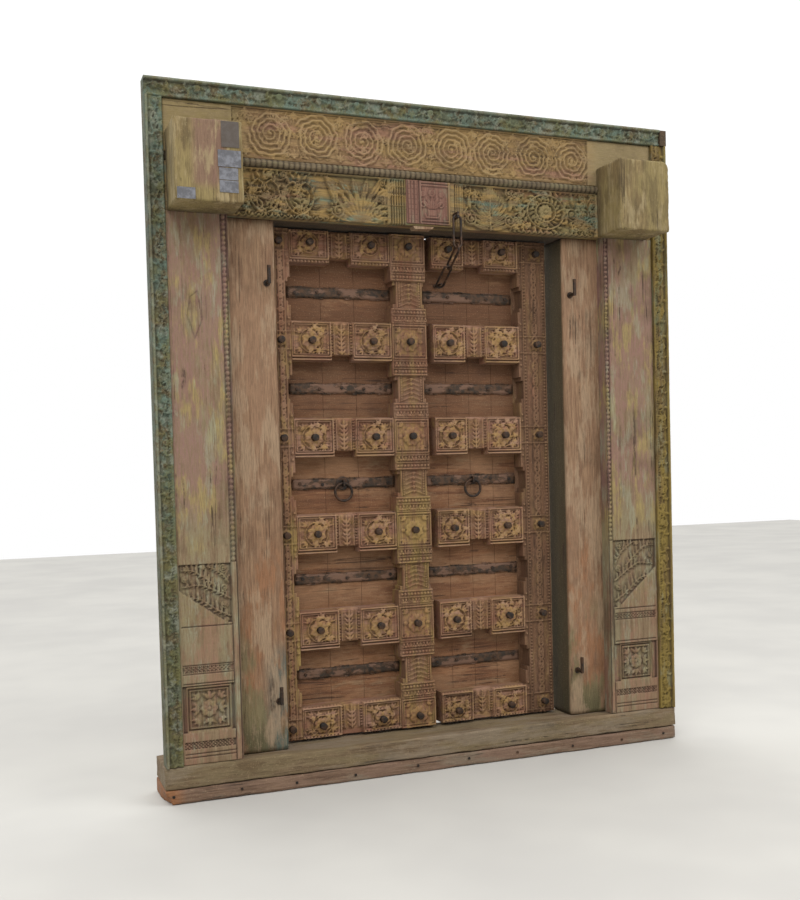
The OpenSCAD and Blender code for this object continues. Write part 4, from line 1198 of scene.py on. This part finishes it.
def carveStile(node, name, outerLow, boss, f, layout, seed):
    low, high = nodeBox(node)
    z0, z1 = layout["rows"][0] - 42, layout["rows"][-1] + 45
    step = 16
    inner = high[0] if outerLow else low[0]
    marks = ([low[0], inner - step, inner - step / 2, inner] if outerLow
             else [inner, inner + step / 2, inner + step, high[0]])
    face = low[1] if low[1] > 100 else 113
    xs, zs = cuts(marks, f["grid"]), cuts(stepMarks(z0, z1, layout), f["grid"])
    panel = newPanel(xs, zs, 0.0)
    w = high[0] - low[0]
    far = low[0] if outerLow else high[0]
    into = 1 if outerLow else -1
    for inset, size in ((3, 5), (w - step - 4, 4)):
        rib(panel, [(far + into * inset, z0 + 2), (far + into * inset, z1 - 2)], size)
    lane = (far + into * 3 + far + into * (w - step - 4)) / 2
    reach = (w - step - 12) / 2
    for k, z in enumerate(np.arange(z0 + 12, z1 - 10, 23)):       # leaf and disc chain
        if min(abs(z - row) for row in layout["rows"]) < 30:
            continue
        if k % 2:
            rosette(panel, lane, z, min(reach, 13), 6)
        else:
            for way in (-1, 1):
                leaf(panel, lane, z, 90 - way * 48, min(reach * 1.2, 24), 10, bend=0.3 * way)
                leaf(panel, lane, z, 270 + way * 48, min(reach * 1.2, 24), 10, bend=-0.3 * way)
    if w > 80:      # the broad stile has pearls along both edges
        for z in np.arange(z0 + 6, z1 - 4, 12):
            button(panel, far + into * 11, z, 4.6)
            button(panel, far + into * (w - step - 11), z, 4.2)
    for row in layout["rows"]:
        a, b = max(row - 30, z0), min(row + 30, z1)
        rib(panel, [(far + into * 4, a), (inner - into * 3, a)], 5)
        rib(panel, [(far + into * 4, b), (inner - into * 3, b)], 5)
        rosette(panel, boss, row, 22, 8)
        gild(panel, boss - 24, boss + 24, row - 24, row + 24, 0.8)
        for q in (-74, -52, 52, 74):
            if z0 + 4 < row + q < z1 - 4:
                button(panel, inner - into * 8, row + q, 5.5)
    leftStep, rightStep = (0, step) if outerLow else (step, 0)
    keep = steppedMask(xs, zs, leftStep, rightStep, layout)
    piece = panelMesh(name, panel, face, 173, f["depth"], keep, None, 0.7, seed)
    back = stileBack(min(far, inner), max(far, inner), z0, z1, 172.5, 198, 24, outerLow)
    backPart = newMesh(name.replace("Carving", "Back"), *back)
    standIn(piece, node, carvedStile)
    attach(backPart, bodyOf[node])
    backPart.data.materials.append(carvedStile)


carveAstragal(stileCarving, leafLayout)
carveStile("left_hinge_stile", "leftStileCarving", True, -506, stileCarving, leafLayout, 122)
carveStile("right_hinge_stile", "rightStileCarving", False, 461, stileCarving, leafLayout, 123)
print("leaves carved")


# ---- ironwork ----

studs = {
    "boss": {"r": 12.3, "out": 19.8, "sides": 16},
    "rivet": {"r": 5.9, "out": 4.9, "sides": 12},
    "nail": {"r": 4.8, "out": 1.9, "sides": 10},
}


def solidBoxes(node):      # the corners of each separate solid of a node
    mesh = bpy.data.objects[node].data
    co = np.empty(len(mesh.vertices) * 3)
    mesh.vertices.foreach_get("co", co)
    co = co.reshape(-1, 3) / mm
    owner = np.arange(len(co))
    ends = np.empty(len(mesh.edges) * 2, int)
    mesh.edges.foreach_get("vertices", ends)
    ends = ends.reshape(-1, 2)
    while True:
        least = np.minimum(owner[ends[:, 0]], owner[ends[:, 1]])
        before = owner.copy()
        np.minimum.at(owner, ends[:, 0], least)
        np.minimum.at(owner, ends[:, 1], least)
        owner = owner[owner]
        if (before == owner).all():
            break
    found = []
    for k in np.unique(owner):
        part = co[owner == k]
        found.append((part.min(0), part.max(0)))
    return found


def forgeStuds(node, name, f, material, seed):
    parts = []
    for k, (low, high) in enumerate(solidBoxes(node)):
        x, z = (low[0] + high[0]) / 2, (low[2] + high[2]) / 2
        parts.append(dome(x, high[1], z, f["r"], min(f["out"], high[1] - low[1] - 0.05), f["sides"], seed + k))
    standIn(newMesh(name, *joinParts(parts)), node, material)


strapForm = {"step": 9, "rows": 5, "bend": 1.2}


def forgeStraps(node, name, f, seed):     # hammered flat bars with uneven edges
    parts = []
    for k, (low, high) in enumerate(solidBoxes(node)):
        xs = steps(low[0] + 0.5, high[0] - 0.5, f["step"])
        t = np.linspace(0, 1, f["rows"])
        upper = high[2] - 1.2 - 1.3 * (1 + wobble(xs, 0 * xs, 0 * xs + k * 90, 70, seed))
        lower = low[2] + 1.2 + 1.3 * (1 + wobble(xs, 0 * xs, 0 * xs + k * 90, 60, seed + 1))
        X = np.repeat(xs, f["rows"])
        Z = (lower[:, None] + (upper - lower)[:, None] * t).ravel()
        dent = f["bend"] * (0.5 + 0.5 * wobble(X, 0 * X, Z + k * 300, 45, seed + 2))
        edge = 1.6 * (np.abs(np.tile(t, len(xs)) - 0.5) > 0.49)
        Y = low[1] + np.clip(dent + edge, 0, 3.2)
        n, c = f["rows"], len(xs) * f["rows"]
        front = np.column_stack([X, Y, Z])
        rear = front.copy()
        rear[:, 1] = high[1]
        faces = []
        for i in range(len(xs) - 1):
            for j in range(n - 1):
                a, b, d, e = i * n + j, (i + 1) * n + j, (i + 1) * n + j + 1, i * n + j + 1
                faces += [(a, b, d, e), (c + e, c + d, c + b, c + a)]
            for j, way in ((0, 1), (n - 1, -1)):
                quad = (i * n + j, c + i * n + j, c + (i + 1) * n + j, (i + 1) * n + j)
                faces.append(quad if way > 0 else quad[::-1])
        for i, way in ((0, 1), (len(xs) - 1, -1)):
            for j in range(n - 1):
                quad = (i * n + j, i * n + j + 1, c + i * n + j + 1, c + i * n + j)
                faces.append(quad if way > 0 else quad[::-1])
        parts.append((np.vstack([front, rear]), faces))
    standIn(newMesh(name, *joinParts(parts)), node, strapIron)


forgeStuds("left_bosses", "leftBosses", studs["boss"], barIron, 200)
forgeStuds("right_bosses", "rightBosses", studs["boss"], barIron, 240)
forgeStuds("left_strap_rivets", "leftStrapRivets", studs["rivet"], barIron, 280)
forgeStuds("right_strap_rivets", "rightStrapRivets", studs["rivet"], barIron, 320)
forgeStuds("sill_nails", "sillNails", studs["nail"], barIron, 360)
forgeStraps("left_straps", "leftStraps", strapForm, 381)
forgeStraps("right_straps", "rightStraps", strapForm, 391)


# ---- parts that keep their construction shape ----

shadeByNode = {
    "lintel_beam": darkWood, "border_end_block": darkWood, "lintel_wedge": jambWood,
    "left_planks": boardWood, "right_planks": boardWood,
    "left_battens": darkWood, "right_battens": darkWood, "blank_labels": cardPaper,
    "jamb_hooks": barIron, "lintel_staple": barIron, "left_ring_rose": barIron,
    "left_ring_staple": barIron, "right_ring_staple": barIron, "left_ring": barIron,
    "right_ring": barIron, "right_edge_iron": barIron, "chain_hook": barIron,
    "chain_link_1": barIron, "chain_link_2": barIron, "chain_link_3": barIron,
}

for node, material in shadeByNode.items():
    mesh = bpy.data.objects[node].data
    mesh.materials.clear()
    mesh.materials.append(material)


# ---- floor and light ----

studio = {
    "floor": "#b9b7b2", "floorSize": 24, "sky": "#ffffff",
    "front": 0.40, "rear": 1.0, "zenith": 0.95,      # brightness of the surround by direction
    "lamps": (((-2.4, -4.2, 5.0), 3.6, 170), ((3.4, -3.6, 4.4), 3.0, 100)),
}


def plainStudio(s):
    material, tree, shader, place = newMaterial("plainFloor")
    shade = noise(tree, place, 900, detail=3)
    tree.links.new(mixed(tree, remap(tree, shade, 0.3, 0.7), s["floor"], "#c2c0ba"), shader.inputs["Base Color"])
    shader.inputs["Roughness"].default_value = 0.9
    half = s["floorSize"] / 2 / mm
    floor = newMesh("floor", [(-half, -half, 0), (half, -half, 0), (half, half, 0), (-half, half, 0)], [(0, 1, 2, 3)])
    floor.data.materials.append(material)
    world = bpy.data.worlds.new("studioLight")
    world.use_nodes = True
    sky = world.node_tree
    way = addNode(sky, "ShaderNodeTexCoord").outputs["Generated"]
    apart = addNode(sky, "ShaderNodeSeparateXYZ", links={0: way}).outputs
    level = maths(sky, "ADD", remap(sky, apart["Y"], 0.0, 0.5, s["front"], s["rear"]),
                  remap(sky, apart["Z"], 0.15, 0.95, 0.0, s["zenith"]))
    sky.nodes["Background"].inputs["Color"].default_value = linear(s["sky"])
    sky.links.new(level, sky.nodes["Background"].inputs["Strength"])
    bpy.context.scene.world = world
    for k, (place, size, power) in enumerate(s["lamps"]):
        lamp = bpy.data.lights.new("softBox%d" % (k + 1), "AREA")
        lamp.size, lamp.energy = size, power
        holder = bpy.data.objects.new(lamp.name, lamp)
        holder.location = place
        aim = Vector((0, 0, 1.1)) - holder.location
        holder.rotation_euler = aim.to_track_quat("-Z", "Y").to_euler()
        bpy.context.scene.collection.objects.link(holder)


plainStudio(studio)
bpy.context.scene.view_settings.view_transform = "Standard"
